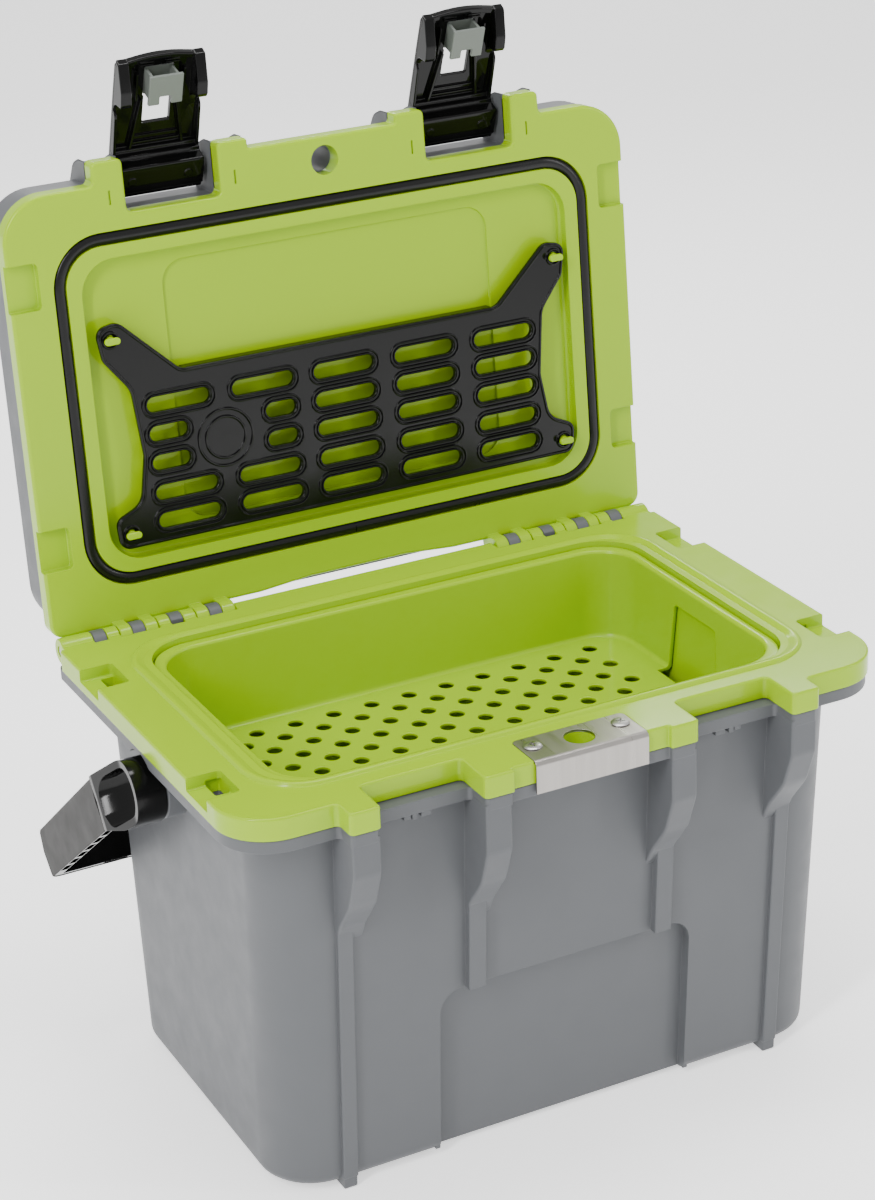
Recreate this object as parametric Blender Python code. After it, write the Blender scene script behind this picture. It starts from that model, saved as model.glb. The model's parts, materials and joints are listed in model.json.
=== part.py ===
"""A hard cooler chest with its lid open, built from its separate moulded pieces.

+X is to the right, the front faces -Y and +Z is up. The origin is the middle of the underside.
Lengths below are in millimetres and angles in degrees: loft() turns them into metres.
The lid and all that it carries are drawn in the closed lid's own axes, on the hinge line.
"""

from math import acos, atan2, cos, pi, radians, sin, tan

import bmesh
import bpy
from mathutils import Vector

for thing in list(bpy.data.objects):
    bpy.data.objects.remove(thing, do_unlink=True)

MM = 0.001
GAP = 0.3

# Body: the grey shell, its top lip and the green liner with its wide flange
FLANGE_TOP = 268.0
FLANGE_THICK = 13.9
FLANGE_HALF = 215.0
FLANGE_FRONT = -141.8
FLANGE_BACK = 141.5
LIP_LOW = 245.5
LIP_INSET = 1.0
SHELL_WALL = 3.0
RUNNER_DROP = 4.0
TUB_FOOT = (190.0, -114.0, 122.5, 36.0)
TUB_HEAD = (193.0, -129.7, 136.0, 38.0)
RECESS_HALF = 86.0
RECESS_HIGH = 114.0
RECESS_IN = 7.5
LUG_FRONT = -157.2
BLOCK_FRONT = -153.7
NOTCH_BACK = -128.3
LEDGE_FRONT = -137.5
INNER_LUG = (51.5, 70.5)
OUTER_LUG = (134.9, 154.3)
OPENING = (168.4, 103.4, 30.0)
REBATE = (174.5, 110.5, 32.0)
REBATE_DEPTH = 6.5
LINER_FLOOR = 38.0
LINER_WALL = 2.5
BEAD = (182.5, 113.0, 34.0)
BEAD_HIGH = 1.9
TIE_X = 194.0
TIE_SPANS = ((-100.0, -70.0), (66.0, 97.0))
TIE_HOLES = ((-84.0, -68.0), (78.0, 94.0))
TIE_DEEP = 8.0
LOCK_HOLE = (-139.7, 9.4)
RUNNER_SPAN = (143.6, 151.9)
TAB_FRONT = -136.7
TAB_SPANS = ((76.0, 90.0, 24.5), (94.0, 111.0, 25.5), (115.0, 129.0, 24.5))

# Tray that hangs in the opening
TRAY_LIP = (172.0, 108.0, 31.0)
TRAY_TOP = (165.4, 100.4, 28.0)
TRAY_FLOOR = (163.6, 97.6, 26.0)
TRAY_WALL = 2.0
TRAY_LIP_TOP = -3.2
TRAY_DEEP = 64.0
HOLE_PITCH = (26.9, 13.6)
HOLE_RADIUS = 5.0
WINDOW_FOOT = 29.5
WINDOW_HEAD = 24.0
WINDOW_DROP = 18.0

# Hinge line, lid angle, and the knuckles from inner to outer
HINGE_Y = 140.0
HINGE_Z = FLANGE_TOP - 5.2
LID_OPEN = 94.6
BARREL = 8.3
PIN_RADIUS = 3.0
BORE_RADIUS = 3.4
PIN_SPAN = (95.0, 211.5)
BORE_SPAN = (90.0, 220.0)
BODY_KNUCKLES = (
    ((121.8, 130.4), (130.7, 139.0), (139.3, 147.2)),
    ((173.8, 182.1), (182.4, 190.9), (191.2, 212.0)),
)
LID_KNUCKLES = (
    ((95.0, 103.8), (104.1, 112.5), (112.8, 121.2)),
    ((147.8, 156.2), (156.5, 165.0), (165.3, 173.2)),
)

# Lid: (x, distance from the hinge line towards the front, height above the hinge line)
MATE = 7.4
LINER_TOP = 19.4
LID_TOP = 50.0
LID_HALF = 213.5
LID_FRONT = 283.0
LID_BLOCK = 291.0
LID_LUG = 297.3
LID_NOTCH = 264.3
LID_INNER_LUG = (50.5, 71.0)
LID_OUTER_LUG = (133.0, 153.5)
GASKET_OUT = (185.0, 30.5, 254.0, 32.0)
GASKET_WIDE = 7.2
GASKET_DEEP = 4.0
RECESS = (168.0, 46.0, 238.0, 22.0)
RECESS_DEEP = 7.0
PANEL = (113.0, 62.0, 229.0, 15.0)
PANEL_DEEP = 1.5
LID_TIES = ((49.0, 76.0), (214.0, 243.0))
LID_TIE_DEEP = 5.5
LID_LOCK = (275.9, 9.25)

# Rubber organiser on its four hooks
HOOKS = ((155.0, 189.0), (155.0, 64.3))
NET_FACE = 3.2
NET_THICK = 3.0
SLOT_COLUMNS = (-114.7, -57.2, -0.8, 56.8, 114.5)
SLOT_ROWS = (143.5, 124.8, 106.0, 86.5, 68.2)
SLOT_SIZE = (42.5, 10.0)

# Latches
LATCH_X = 102.4
LATCH_S = 277.0
LATCH_H = 36.0
LATCH_OPEN = 65.0
LEVER_HALF = 28.4
LEVER_FACE = 8.5
LEVER_WALL = 3.0
LEVER_TIP = 88.0
BUTTON_HALF = 11.0
BUTTON_SPAN = (57.0, 77.0)
BUTTON_FACE = -7.0
BUTTON_BACK = 8.2
BUTTON_ROOM = 0.4
PIN_BORE = 3.3

# Carrying handle: r runs along its arms from the axle and w square to them, upwards when it hangs
GRIP_Y = 6.0
GRIP_Z = FLANGE_TOP - 41.4
GRIP_DROP = 37.4
HUB_RADIUS = 20.0
BOSS_END = 205.5
HUB_END = 224.7
AXLE_RADIUS = 6.8
ARM_IN = 225.3
ARM_OUT = 234.0
ARM_START = 31.3
GRIP_REACH = 180.0
BAIL_CORNER = 8.0
BAIL_WALL = 1.8
BAIL_FACE = 5.0
GRIP_LOW = -13.5
GRIP_HIGH = 18.5
GRIP_ROOT_HIGH = 20.5
GROOVE_DEEP = 12.0
INSERT_RIM = 1.2
BAY_DEEP = 9.0
BAY_PITCH = 21.0
BAY_LONG = 16.5
ARM_BAYS = 6
BAR_BAYS = 9
HUB_ROOM = 4.5
HUB_INNER = 214.4

# Bottle-opener plate over the middle of the front edge
PLATE_HALF = 37.0
PLATE_BACK = -125.5
PLATE_FRONT = -156.0
PLATE_THICK = 1.5
PLATE_TOP = 0.3
PLATE_LOW = -20.0
SCREW_X = 29.0
SCREW_Y = -137.0
SCREW_TOP = 1.8
SCREW_BORE = 2.6
PLATE_BEND = 2.6

GREEN = (0.50, 0.74, 0.02)
GREY = (0.21, 0.22, 0.225)
BLACK = (0.012, 0.012, 0.013)
BUTTON_GREY = (0.27, 0.30, 0.28)
HANDLE_GREY = (0.18, 0.17, 0.16)
STEEL = (0.62, 0.60, 0.57)
FOAM = (0.80, 0.72, 0.48)


def material(name, colour, roughness, metallic=0.0):
    made = bpy.data.materials.new(name)
    made.use_nodes = True
    shader = made.node_tree.nodes["Principled BSDF"]
    shader.inputs["Base Color"].default_value = (*colour, 1.0)
    shader.inputs["Roughness"].default_value = roughness
    shader.inputs["Metallic"].default_value = metallic
    return made


def rounded(corners):
    """Points of a closed outline whose corners are (u, v, fillet radius)."""
    points = []
    for number, (u, v, radius) in enumerate(corners):
        here = Vector((u, v))
        if radius == 0:
            points.append(here)
            continue
        behind = (Vector(corners[number - 1][:2]) - here).normalized()
        ahead = (Vector(corners[(number + 1) % len(corners)][:2]) - here).normalized()
        half = behind.angle(ahead) / 2
        middle = here + (behind + ahead).normalized() * radius / sin(half)
        first = here + behind * radius / tan(half) - middle
        last = here + ahead * radius / tan(half) - middle
        turn = atan2(first.x * last.y - first.y * last.x, first.dot(last))
        start = atan2(first.y, first.x)
        steps = 5 if radius > 12 else 3 if radius > 6 else 2
        for step in range(steps + 1):
            angle = start + turn * step / steps
            points.append(middle + Vector((cos(angle), sin(angle))) * radius)
    return points


def mirrored(half):
    """A whole outline from its right half, listed from the front middle to the back middle."""
    return half + [(-x, y, r) for x, y, r in reversed(half) if x > 0]


def box_outline(half_x, front, back, radius):
    """A rounded rectangle about the middle line."""
    return rounded([(-half_x, front, radius), (half_x, front, radius),
                    (half_x, back, radius), (-half_x, back, radius)])


def rectangle(low_u, high_u, low_v, high_v):
    corners = ((low_u, low_v), (high_u, low_v), (high_u, high_v), (low_u, high_v))
    return [Vector(corner) for corner in corners]


def circle(u, v, radius, sides=16):
    return [Vector((u + radius * cos(2 * pi * n / sides), v + radius * sin(2 * pi * n / sides)))
            for n in range(sides)]


def place(outline, level, axis):
    """An outline set square to an axis: (y, z) along X, (x, z) along Y and (x, y) along Z."""
    if axis == "X":
        return [(level, u, v) for u, v in outline]
    if axis == "Y":
        return [(u, level, v) for u, v in outline]
    return [(u, v, level) for u, v in outline]


def add_skin(mesh, rings):
    """One closed body through rings of equal length, capped unless the last ring is the first."""
    closed = rings[0] is rings[-1]
    rows = [[mesh.verts.new(Vector(point) * MM) for point in ring] for ring in rings[closed:]]
    count = len(rows[0])
    faces = [] if closed else [mesh.faces.new(rows[0]), mesh.faces.new(rows[-1])]
    rows = [rows[-1]] * closed + rows
    for low, high in zip(rows, rows[1:]):
        for n in range(count):
            after = (n + 1) % count
            faces.append(mesh.faces.new((low[n], low[after], high[after], high[n])))
    bmesh.ops.recalc_face_normals(mesh, faces=faces)


def loft(name, *bodies, parent=None):
    """An object made of closed bodies, each a list of rings."""
    mesh = bmesh.new()
    for rings in bodies:
        add_skin(mesh, rings)
    data = bpy.data.meshes.new(name)
    mesh.to_mesh(data)
    mesh.free()
    made = bpy.data.objects.new(name, data)
    made.parent = parent
    bpy.context.scene.collection.objects.link(made)
    return made


def prism(outline, low, high, axis="Z"):
    return [place(outline, low, axis), place(outline, high, axis)]


def both_sides(build):
    """The bodies that build(side) gives on the left and on the right."""
    return [body for side in (-1, 1) for body in build(side)]


def span(side, low, high):
    """A stretch of x, listed low to high, on the left or the right."""
    return (side * high, side * low) if side < 0 else (low, high)


def combine(target, operation, name, *bodies):
    """Join a tool to a piece, cut it out, or keep only what they share."""
    tool = loft(name, *bodies, parent=target.parent)
    tool.hide_render = True
    tool.display_type = "WIRE"
    step = target.modifiers.new(name, "BOOLEAN")
    step.operation = operation
    step.solver = "EXACT"
    step.object = tool


def join(target, name, *bodies):
    combine(target, "UNION", name, *bodies)


def cut(target, name, *bodies):
    combine(target, "DIFFERENCE", name, *bodies)


def finish(target, finish_material, smooth=False):
    target.data.materials.append(finish_material)
    if smooth:
        target.data.shade_smooth()
        target.data.set_sharp_from_angle(angle=radians(35))
    return target


def pivot(name, y, z, turn, parent=None):
    """An empty on a joint's axis, turned about X."""
    made = bpy.data.objects.new(name, None)
    made.location = (0.0, y * MM, z * MM)
    made.rotation_euler = (radians(turn), 0.0, 0.0)
    made.parent = parent
    bpy.context.scene.collection.objects.link(made)
    return made


def tub_size(z):
    """The grey tub's half length, front, back and corner radius at a height."""
    share = z / LIP_LOW
    return [low + (high - low) * share for low, high in zip(TUB_FOOT, TUB_HEAD)]


def tub_ring(z, inset):
    half, front, back, radius = tub_size(z)
    return place(box_outline(half - inset, front + inset, back - inset, radius - inset), z, "Z")


def wall_front(z):
    return tub_size(z)[1]


def tub_hollow(gap, top):
    """Inside of the grey tub, with a small cove round its floor."""
    inset = SHELL_WALL + gap
    return [tub_ring(SHELL_WALL + gap, inset + 5), tub_ring(SHELL_WALL + gap + 5, inset),
            tub_ring(230.0, inset), tub_ring(top, inset)]


def recess_back(gap):
    """Thickened wall behind the front recess, up from the floor."""
    low, high = 1.0, RECESS_HIGH + SHELL_WALL + gap
    depth = RECESS_IN + SHELL_WALL + gap
    profile = [(wall_front(low) + 1, low), (wall_front(high) + 1, high),
               (wall_front(high) + depth, high), (wall_front(low) + depth, low)]
    half = RECESS_HALF + SHELL_WALL + gap
    return prism([Vector(p) for p in profile], -half, half, "X")


def flange_half(inset, notch, block):
    """Right half of the flange's outline, front middle to back middle."""
    lug = LUG_FRONT + inset
    return [
        (INNER_LUG[0] + inset, block, 0), (INNER_LUG[0] + inset, lug, 1.0),
        (INNER_LUG[1] - inset, lug, 2.5), (INNER_LUG[1] - inset, notch, 2.5),
        (OUTER_LUG[0] + inset, notch, 2.5), (OUTER_LUG[0] + inset, lug, 2.5),
        (OUTER_LUG[1] - inset, lug, 2.5), (OUTER_LUG[1] - inset, FLANGE_FRONT + inset, 2.5),
        (FLANGE_HALF - inset, FLANGE_FRONT + inset, 33.0),
    ]


def buttress(side, low_x, high_x, drop):
    """Tapering rib head under a lug: flat front, then a long slope back into the wall."""
    front = LUG_FRONT + LIP_INSET + 0.4
    low, high = span(side, low_x, high_x)
    start = FLANGE_TOP - drop
    profile = [(front, LIP_LOW + 4), (front, start), (front + 8.5, start - 23),
               (front + 24, start - 43), (wall_front(start - 56) + 1, start - 56),
               (-110.0, start - 56), (-110.0, LIP_LOW + 4)]
    return prism([Vector(p) for p in profile], low, high, "X")


def narrow_rib(side, low_x, high_x, proud, low_z, high_z):
    low, high = span(side, low_x, high_x)
    profile = [(wall_front(low_z) - proud, low_z), (-100.0, low_z),
               (-100.0, high_z), (wall_front(high_z) - proud, high_z)]
    return prism([Vector(p) for p in profile], low, high, "X")


def body_knuckle(low, high, front, foot, crown):
    """Half-round barrel on the hinge line with a web to the front and down."""
    first = pi - atan2(crown - HINGE_Z, (BARREL ** 2 - (crown - HINGE_Z) ** 2) ** 0.5)
    steps = 10
    arc = [first + (-pi / 2 - first) * n / steps for n in range(steps + 1)]
    outline = [Vector((front, foot)), Vector((front, crown))]
    outline += [Vector((HINGE_Y + BARREL * cos(a), HINGE_Z + BARREL * sin(a))) for a in arc]
    outline += [Vector((HINGE_Y, foot))] if foot < HINGE_Z - BARREL else []
    return prism(outline, low, high, "X")


def hinge_bore(side):
    low, high = span(side, *BORE_SPAN)
    return prism(circle(HINGE_Y, HINGE_Z, BORE_RADIUS, 12), low, high, "X")


def tie_holes(low, high):
    """Square strap holes through the flange, outside the tub's walls."""
    return both_sides(lambda side: [prism(rectangle(*span(side, TIE_X, TIE_X + 9), *hole), low, high)
                                    for hole in TIE_HOLES])


def build_shell(finish_material):
    """Grey outer tub with a lip, ribs, hinge bands, handle bosses and latch ledges."""
    rise = [(0.0, 6.0), (1.8, 1.8), (6.0, 0.0), (LIP_LOW + 2, 0.0)]
    shell = loft("body_shell", [tub_ring(z, inset) for z, inset in rise])
    lip = mirrored(flange_half(LIP_INSET, LEDGE_FRONT, BLOCK_FRONT + 0.7)
                   + [(FLANGE_HALF - LIP_INSET, FLANGE_BACK - 0.5, 6.0)])
    lip_top = FLANGE_TOP - FLANGE_THICK - GAP
    join(shell, "lip", prism(rounded(lip), LIP_LOW, lip_top))
    heads = both_sides(lambda side: [
        buttress(side, OUTER_LUG[0] + 0.5, OUTER_LUG[1] - 1.2, 42.0),
        buttress(side, INNER_LUG[0] + 1.3, INNER_LUG[1] - 0.7, 50.0)])
    join(shell, "buttresses", *heads)
    ribs = both_sides(lambda side: [
        narrow_rib(side, 143.0, 152.5, 3.4, 3.0, LIP_LOW - 60),
        narrow_rib(side, 58.0, 69.2, 5.5, 100.0, LIP_LOW - 60)])
    join(shell, "narrow_ribs", *ribs)
    runner = [(-116.0, 10.0), (-117.4, 4.0), (-116.6, -RUNNER_DROP), (118.0, -RUNNER_DROP), (119.0, 10.0)]
    runners = both_sides(lambda side: [
        prism([Vector(p) for p in runner], *span(side, *RUNNER_SPAN), "X")])
    join(shell, "runners", *runners)
    tabs = both_sides(lambda side: [
        prism(rectangle(*span(side, low, high), TAB_FRONT, -122.0), FLANGE_TOP - drop, LIP_LOW + 2)
        for low, high, drop in TAB_SPANS])
    join(shell, "latch_ledges", *tabs)
    bands = both_sides(lambda side: [
        body_knuckle(*span(side, *knuckle[1]), 131.5, LIP_LOW + 4, HINGE_Z)
        for knuckle in BODY_KNUCKLES])
    join(shell, "hinge_bands", *bands)
    bosses = both_sides(lambda side: [
        prism(circle(GRIP_Y, GRIP_Z, HUB_RADIUS, 24), *span(side, 186.0, BOSS_END), "X")])
    join(shell, "handle_bosses", *bosses)
    cut(shell, "hollow", tub_hollow(0.0, FLANGE_TOP + 5))
    join(shell, "recess_back", recess_back(0.0))
    dip = rounded([(-RECESS_HALF, -20.0, 0), (RECESS_HALF, -20.0, 0),
                   (RECESS_HALF, RECESS_HIGH, 15.0), (-RECESS_HALF, RECESS_HIGH, 15.0)])
    lean = (wall_front(LIP_LOW) - wall_front(0.0)) / LIP_LOW
    steps = [[(x, y + lean * z, z) for x, z in dip] for y in (-140.0, wall_front(0.0) + RECESS_IN)]
    cut(shell, "front_recess", steps)
    cut(shell, "strap_holes", *tie_holes(LIP_LOW - 8, FLANGE_TOP))
    cut(shell, "lock_hole", prism(circle(0.0, LOCK_HOLE[0], LOCK_HOLE[1]), LIP_LOW - 20, FLANGE_TOP))
    cut(shell, "hinge_bores", hinge_bore(-1), hinge_bore(1))
    axles = both_sides(lambda side: [
        prism(circle(GRIP_Y, GRIP_Z, AXLE_RADIUS + 0.7, 12), *span(side, 197.5, 210.0), "X")])
    cut(shell, "axle_bores", *axles)
    reliefs = both_sides(lambda side: [
        prism(circle(GRIP_Y, GRIP_Z, HUB_RADIUS + HUB_ROOM, 24), *span(side, BOSS_END, HUB_INNER + 2), "X")])
    cut(shell, "hub_reliefs", *reliefs)
    return finish(shell, finish_material)


def liner_ring(z, grow):
    """The inside of the liner's tub, drawn in with depth, or its outside."""
    share = (FLANGE_TOP - REBATE_DEPTH - z) / (FLANGE_TOP - LINER_FLOOR)
    half_x, half_y, radius = OPENING
    return place(box_outline(half_x + grow - 7 * share, -half_y - grow + 7 * share,
                             half_y + grow - 7 * share, radius + grow), z, "Z")


def build_liner(finish_material):
    """Green inner tub with the wide flange that the lid closes on."""
    outline = mirrored(flange_half(0.0, NOTCH_BACK, BLOCK_FRONT)
                       + [(FLANGE_HALF, 131.2, 2.0), (94.4, 131.2, 0), (94.4, FLANGE_BACK, 1.5)])
    low = FLANGE_TOP - FLANGE_THICK
    liner = loft("body_liner", prism(rounded(outline), low, FLANGE_TOP))
    knuckles = both_sides(lambda side: [
        body_knuckle(*span(side, *part), 129.0, low + 0.4, FLANGE_TOP)
        for knuckle in BODY_KNUCKLES for part in (knuckle[0], knuckle[2])])
    join(liner, "hinge_knuckles", *knuckles)
    join(liner, "tub", [liner_ring(LINER_FLOOR - LINER_WALL, LINER_WALL), liner_ring(low + 3, LINER_WALL)])
    half_x, half_y, radius = BEAD
    section = ((2.2, -2.0), (2.2, 0.0), (1.0, BEAD_HIGH), (-1.0, BEAD_HIGH), (-2.2, 0.0), (-2.2, -2.0))
    bead = [place(box_outline(half_x + grow, -half_y - grow, half_y + grow, radius + grow),
                  FLANGE_TOP + z, "Z") for grow, z in section]
    join(liner, "bead", bead + bead[:1])
    half_x, half_y, radius = REBATE
    rebate = box_outline(half_x, -half_y, half_y, radius)
    cut(liner, "tray_rebate", prism(rebate, FLANGE_TOP - REBATE_DEPTH, FLANGE_TOP + 6))
    cut(liner, "inside", [liner_ring(LINER_FLOOR, 0.0), liner_ring(FLANGE_TOP - 3, 0.0)])
    ties = both_sides(lambda side: [
        prism(rectangle(*span(side, TIE_X, FLANGE_HALF + 6), *part), FLANGE_TOP - TIE_DEEP, FLANGE_TOP + 6)
        for part in TIE_SPANS])
    cut(liner, "strap_recesses", *ties)
    cut(liner, "strap_holes", *tie_holes(low - 6, FLANGE_TOP - TIE_DEEP + 3))
    plate = rectangle(-PLATE_HALF - GAP, PLATE_HALF + GAP, PLATE_FRONT - 5, PLATE_BACK + GAP)
    seat = FLANGE_TOP + PLATE_TOP - PLATE_THICK - GAP
    cut(liner, "plate_seat", prism(plate, seat, FLANGE_TOP + 6))
    cut(liner, "lock_hole", prism(circle(0.0, LOCK_HOLE[0], LOCK_HOLE[1]), low - 6, FLANGE_TOP + 6))
    screws = both_sides(lambda side: [
        prism(circle(side * SCREW_X, SCREW_Y, SCREW_BORE, 8), low + 2, FLANGE_TOP + 6)])
    cut(liner, "screw_bores", *screws)
    cut(liner, "hinge_bores", hinge_bore(-1), hinge_bore(1))
    return finish(liner, finish_material)


def build_foam(finish_material):
    """Insulation between the shell and the liner."""
    top = FLANGE_TOP - FLANGE_THICK - GAP
    inside = [liner_ring(z, LINER_WALL + GAP) for z in (top, LINER_FLOOR - LINER_WALL - GAP)]
    foam = loft("body_foam", tub_hollow(GAP, top) + inside)
    cut(foam, "recess_back_room", recess_back(GAP))
    return finish(foam, finish_material)


def build_tray(finish_material):
    """Drop-in basket: rim, near-vertical walls, a pierced floor and a window in its right wall."""
    def level(size, grow, z):
        half_x, half_y, radius = size
        return place(box_outline(half_x + grow, -half_y - grow, half_y + grow, radius + grow), z, "Z")

    top = FLANGE_TOP + TRAY_LIP_TOP
    floor = FLANGE_TOP - TRAY_DEEP
    rings = [level(TRAY_FLOOR, TRAY_WALL, floor - TRAY_WALL), level(TRAY_TOP, TRAY_WALL, top - 3),
             level(TRAY_LIP, 0, top - 3), level(TRAY_LIP, 0, top), level(TRAY_TOP, 0, top),
             level(TRAY_FLOOR, 0, floor)]
    tray = loft("tray", rings)
    pitch_x, pitch_y = HOLE_PITCH
    holes = []
    for row in range(-6, 7):
        shift = 0.5 if row % 2 else 0.0
        for column in range(-5, 6 - row % 2):
            x = (column + shift) * pitch_x
            holes.append(prism(circle(x, row * pitch_y, HOLE_RADIUS, 6), floor - 8, floor + 5))
    cut(tray, "floor_holes", *holes)
    head = FLANGE_TOP - WINDOW_DROP
    window = [Vector((-WINDOW_FOOT, floor - 6)), Vector((WINDOW_FOOT, floor - 6)),
              Vector((WINDOW_HEAD, head)), Vector((-WINDOW_HEAD, head))]
    cut(tray, "side_window", prism(window, 155.0, 175.0, "X"))
    return finish(tray, finish_material)


def build_hinge_pins(finish_material):
    for word, side in (("left", -1), ("right", 1)):
        low, high = span(side, *PIN_SPAN)
        pin = loft("hinge_pin_" + word, prism(circle(HINGE_Y, HINGE_Z, PIN_RADIUS, 16), low, high, "X"))
        finish(pin, finish_material, smooth=True)


def build_plate(finish_material, screw_material):
    """Bent steel plate with a round hole, and its two screws."""
    top = FLANGE_TOP + PLATE_TOP
    low = FLANGE_TOP + PLATE_LOW
    outer = [(PLATE_BACK, top, 0), (PLATE_FRONT, top, PLATE_BEND), (PLATE_FRONT, low, 0)]
    inner = [(PLATE_FRONT + PLATE_THICK, low, 0),
             (PLATE_FRONT + PLATE_THICK, top - PLATE_THICK, PLATE_BEND - PLATE_THICK),
             (PLATE_BACK, top - PLATE_THICK, 0)]
    plate = loft("opener_plate", prism(rounded(outer + inner), -PLATE_HALF, PLATE_HALF, "X"))
    cut(plate, "plate_hole", prism(circle(0.0, LOCK_HOLE[0], LOCK_HOLE[1] - 0.2), low, top + 5))
    holes = both_sides(lambda side: [
        prism(circle(side * SCREW_X, SCREW_Y, SCREW_BORE + 0.2, 8), low, top + 5)])
    cut(plate, "screw_holes", *holes)
    finish(plate, finish_material)
    for word, side in (("left", -1), ("right", 1)):
        seat = PLATE_TOP + GAP
        sizes = ((2.2, -9.0), (2.2, seat), (5.7, seat), (5.7, SCREW_TOP - 0.6), (3.5, SCREW_TOP))
        rings = [place(circle(side * SCREW_X, SCREW_Y, radius, 12), FLANGE_TOP + z, "Z")
                 for radius, z in sizes]
        finish(loft("plate_screw_" + word, rings), screw_material, smooth=True)


def lid_outline():
    """The lid's plan in its own axes, where y runs from the hinge line to the back."""
    half = [
        (LID_INNER_LUG[0], -LID_BLOCK, 0), (LID_INNER_LUG[0], -LID_LUG, 2.0),
        (LID_INNER_LUG[1], -LID_LUG, 2.5), (LID_INNER_LUG[1], -LID_NOTCH, 2.5),
        (LID_OUTER_LUG[0], -LID_NOTCH, 2.5), (LID_OUTER_LUG[0], -LID_LUG, 2.5),
        (LID_OUTER_LUG[1], -LID_LUG, 2.5), (LID_OUTER_LUG[1], -LID_FRONT, 2.5),
        (LID_HALF, -LID_FRONT, 30.0), (LID_HALF, -5.0, 8.0), (92.0, -5.0, 0),
        (70.0, -5.0, 0), (35.0, -8.0, 0), (0.0, -9.2, 0),
    ]
    return rounded(mirrored(half))


def lid_box(size, grow=0.0):
    """A rounded rectangle on the lid from (half length, nearest, farthest, radius)."""
    half, near, far, radius = size
    return box_outline(half + grow, -far - grow, -near + grow, radius + grow)


def build_lid_liner(pivot_empty, finish_material):
    """Green inside of the lid: mating rim, gasket groove, sunken panel and four hooks."""
    liner = loft("lid_liner", prism(lid_outline(), MATE, LINER_TOP), parent=pivot_empty)
    knuckles = both_sides(lambda side: [
        prism(lid_barrel(BARREL, 0.0, 14.0), *span(side, *part), "X")
        for knuckle in LID_KNUCKLES for part in (knuckle[0], knuckle[2])])
    join(liner, "lid_knuckles", *knuckles)
    cut(liner, "recess", prism(lid_box(RECESS), MATE - 5, MATE + RECESS_DEEP))
    cut(liner, "panel", prism(lid_box(PANEL), MATE - 5, MATE + RECESS_DEEP + PANEL_DEEP))
    bottom, far = MATE + GASKET_DEEP + GAP, -GASKET_WIDE - GAP
    groove = [place(lid_box(GASKET_OUT, grow), z, "Z")
              for grow, z in ((GAP, MATE - 5), (GAP, bottom), (far, bottom), (far, MATE - 5))]
    cut(liner, "gasket_groove", groove + groove[:1])
    ties = both_sides(lambda side: [
        prism(rectangle(*span(side, TIE_X, FLANGE_HALF + 6), -far, -near), MATE - 5, MATE + LID_TIE_DEEP)
        for near, far in LID_TIES])
    cut(liner, "strap_recesses", *ties)
    cut(liner, "lock_hole", prism(circle(0.0, -LID_LOCK[0], LID_LOCK[1]), MATE - 5, LINER_TOP + 5))
    cut(liner, "hinge_bores", lid_bore(-1), lid_bore(1))
    floor = MATE + RECESS_DEEP
    stems = both_sides(lambda side: [
        prism(circle(side * x, -s, 2.5, 8), -1.0, floor + 1) for x, s in HOOKS])
    heads = both_sides(lambda side: [
        prism(rectangle(side * x - 5, side * x + 5, -s - 2.2, -s + 2.2), -2.4, 0.2) for x, s in HOOKS])
    join(liner, "hook_stems", *stems)
    join(liner, "hook_heads", *heads)
    return finish(liner, finish_material)


def lid_barrel(front, back, top):
    """Side view of a lid knuckle: a barrel whose web rises to the lid."""
    steps = 14
    first = pi - acos(front / BARREL)
    last = 2 * pi + acos(back / BARREL)
    arc = [first + (last - first) * n / steps for n in range(steps + 1)]
    barrel = [Vector((BARREL * cos(a), BARREL * sin(a))) for a in arc]
    return barrel + [Vector((back, top)), Vector((-front, top))]


def lid_bore(side):
    low, high = span(side, *BORE_SPAN)
    return prism(circle(0.0, 0.0, BORE_RADIUS, 12), low, high, "X")


def lid_shell_ring(inset, z):
    edge = inset + 0.5
    return place(box_outline(LID_HALF - edge, -LID_FRONT + edge, -2.5 - edge, 30.5 - edge), z, "Z")


def lid_hollow(gap, low):
    """The space inside the lid's outer skin, behind the latch notches."""
    steps = ((4.0, low), (4.0, 36.0), (10.0, LID_TOP - SHELL_WALL - gap))
    return [place(box_outline(LID_HALF - inset - gap, -LID_NOTCH + inset + gap, -3.0 - inset - gap, 24.0),
                  z, "Z") for inset, z in steps]


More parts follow.
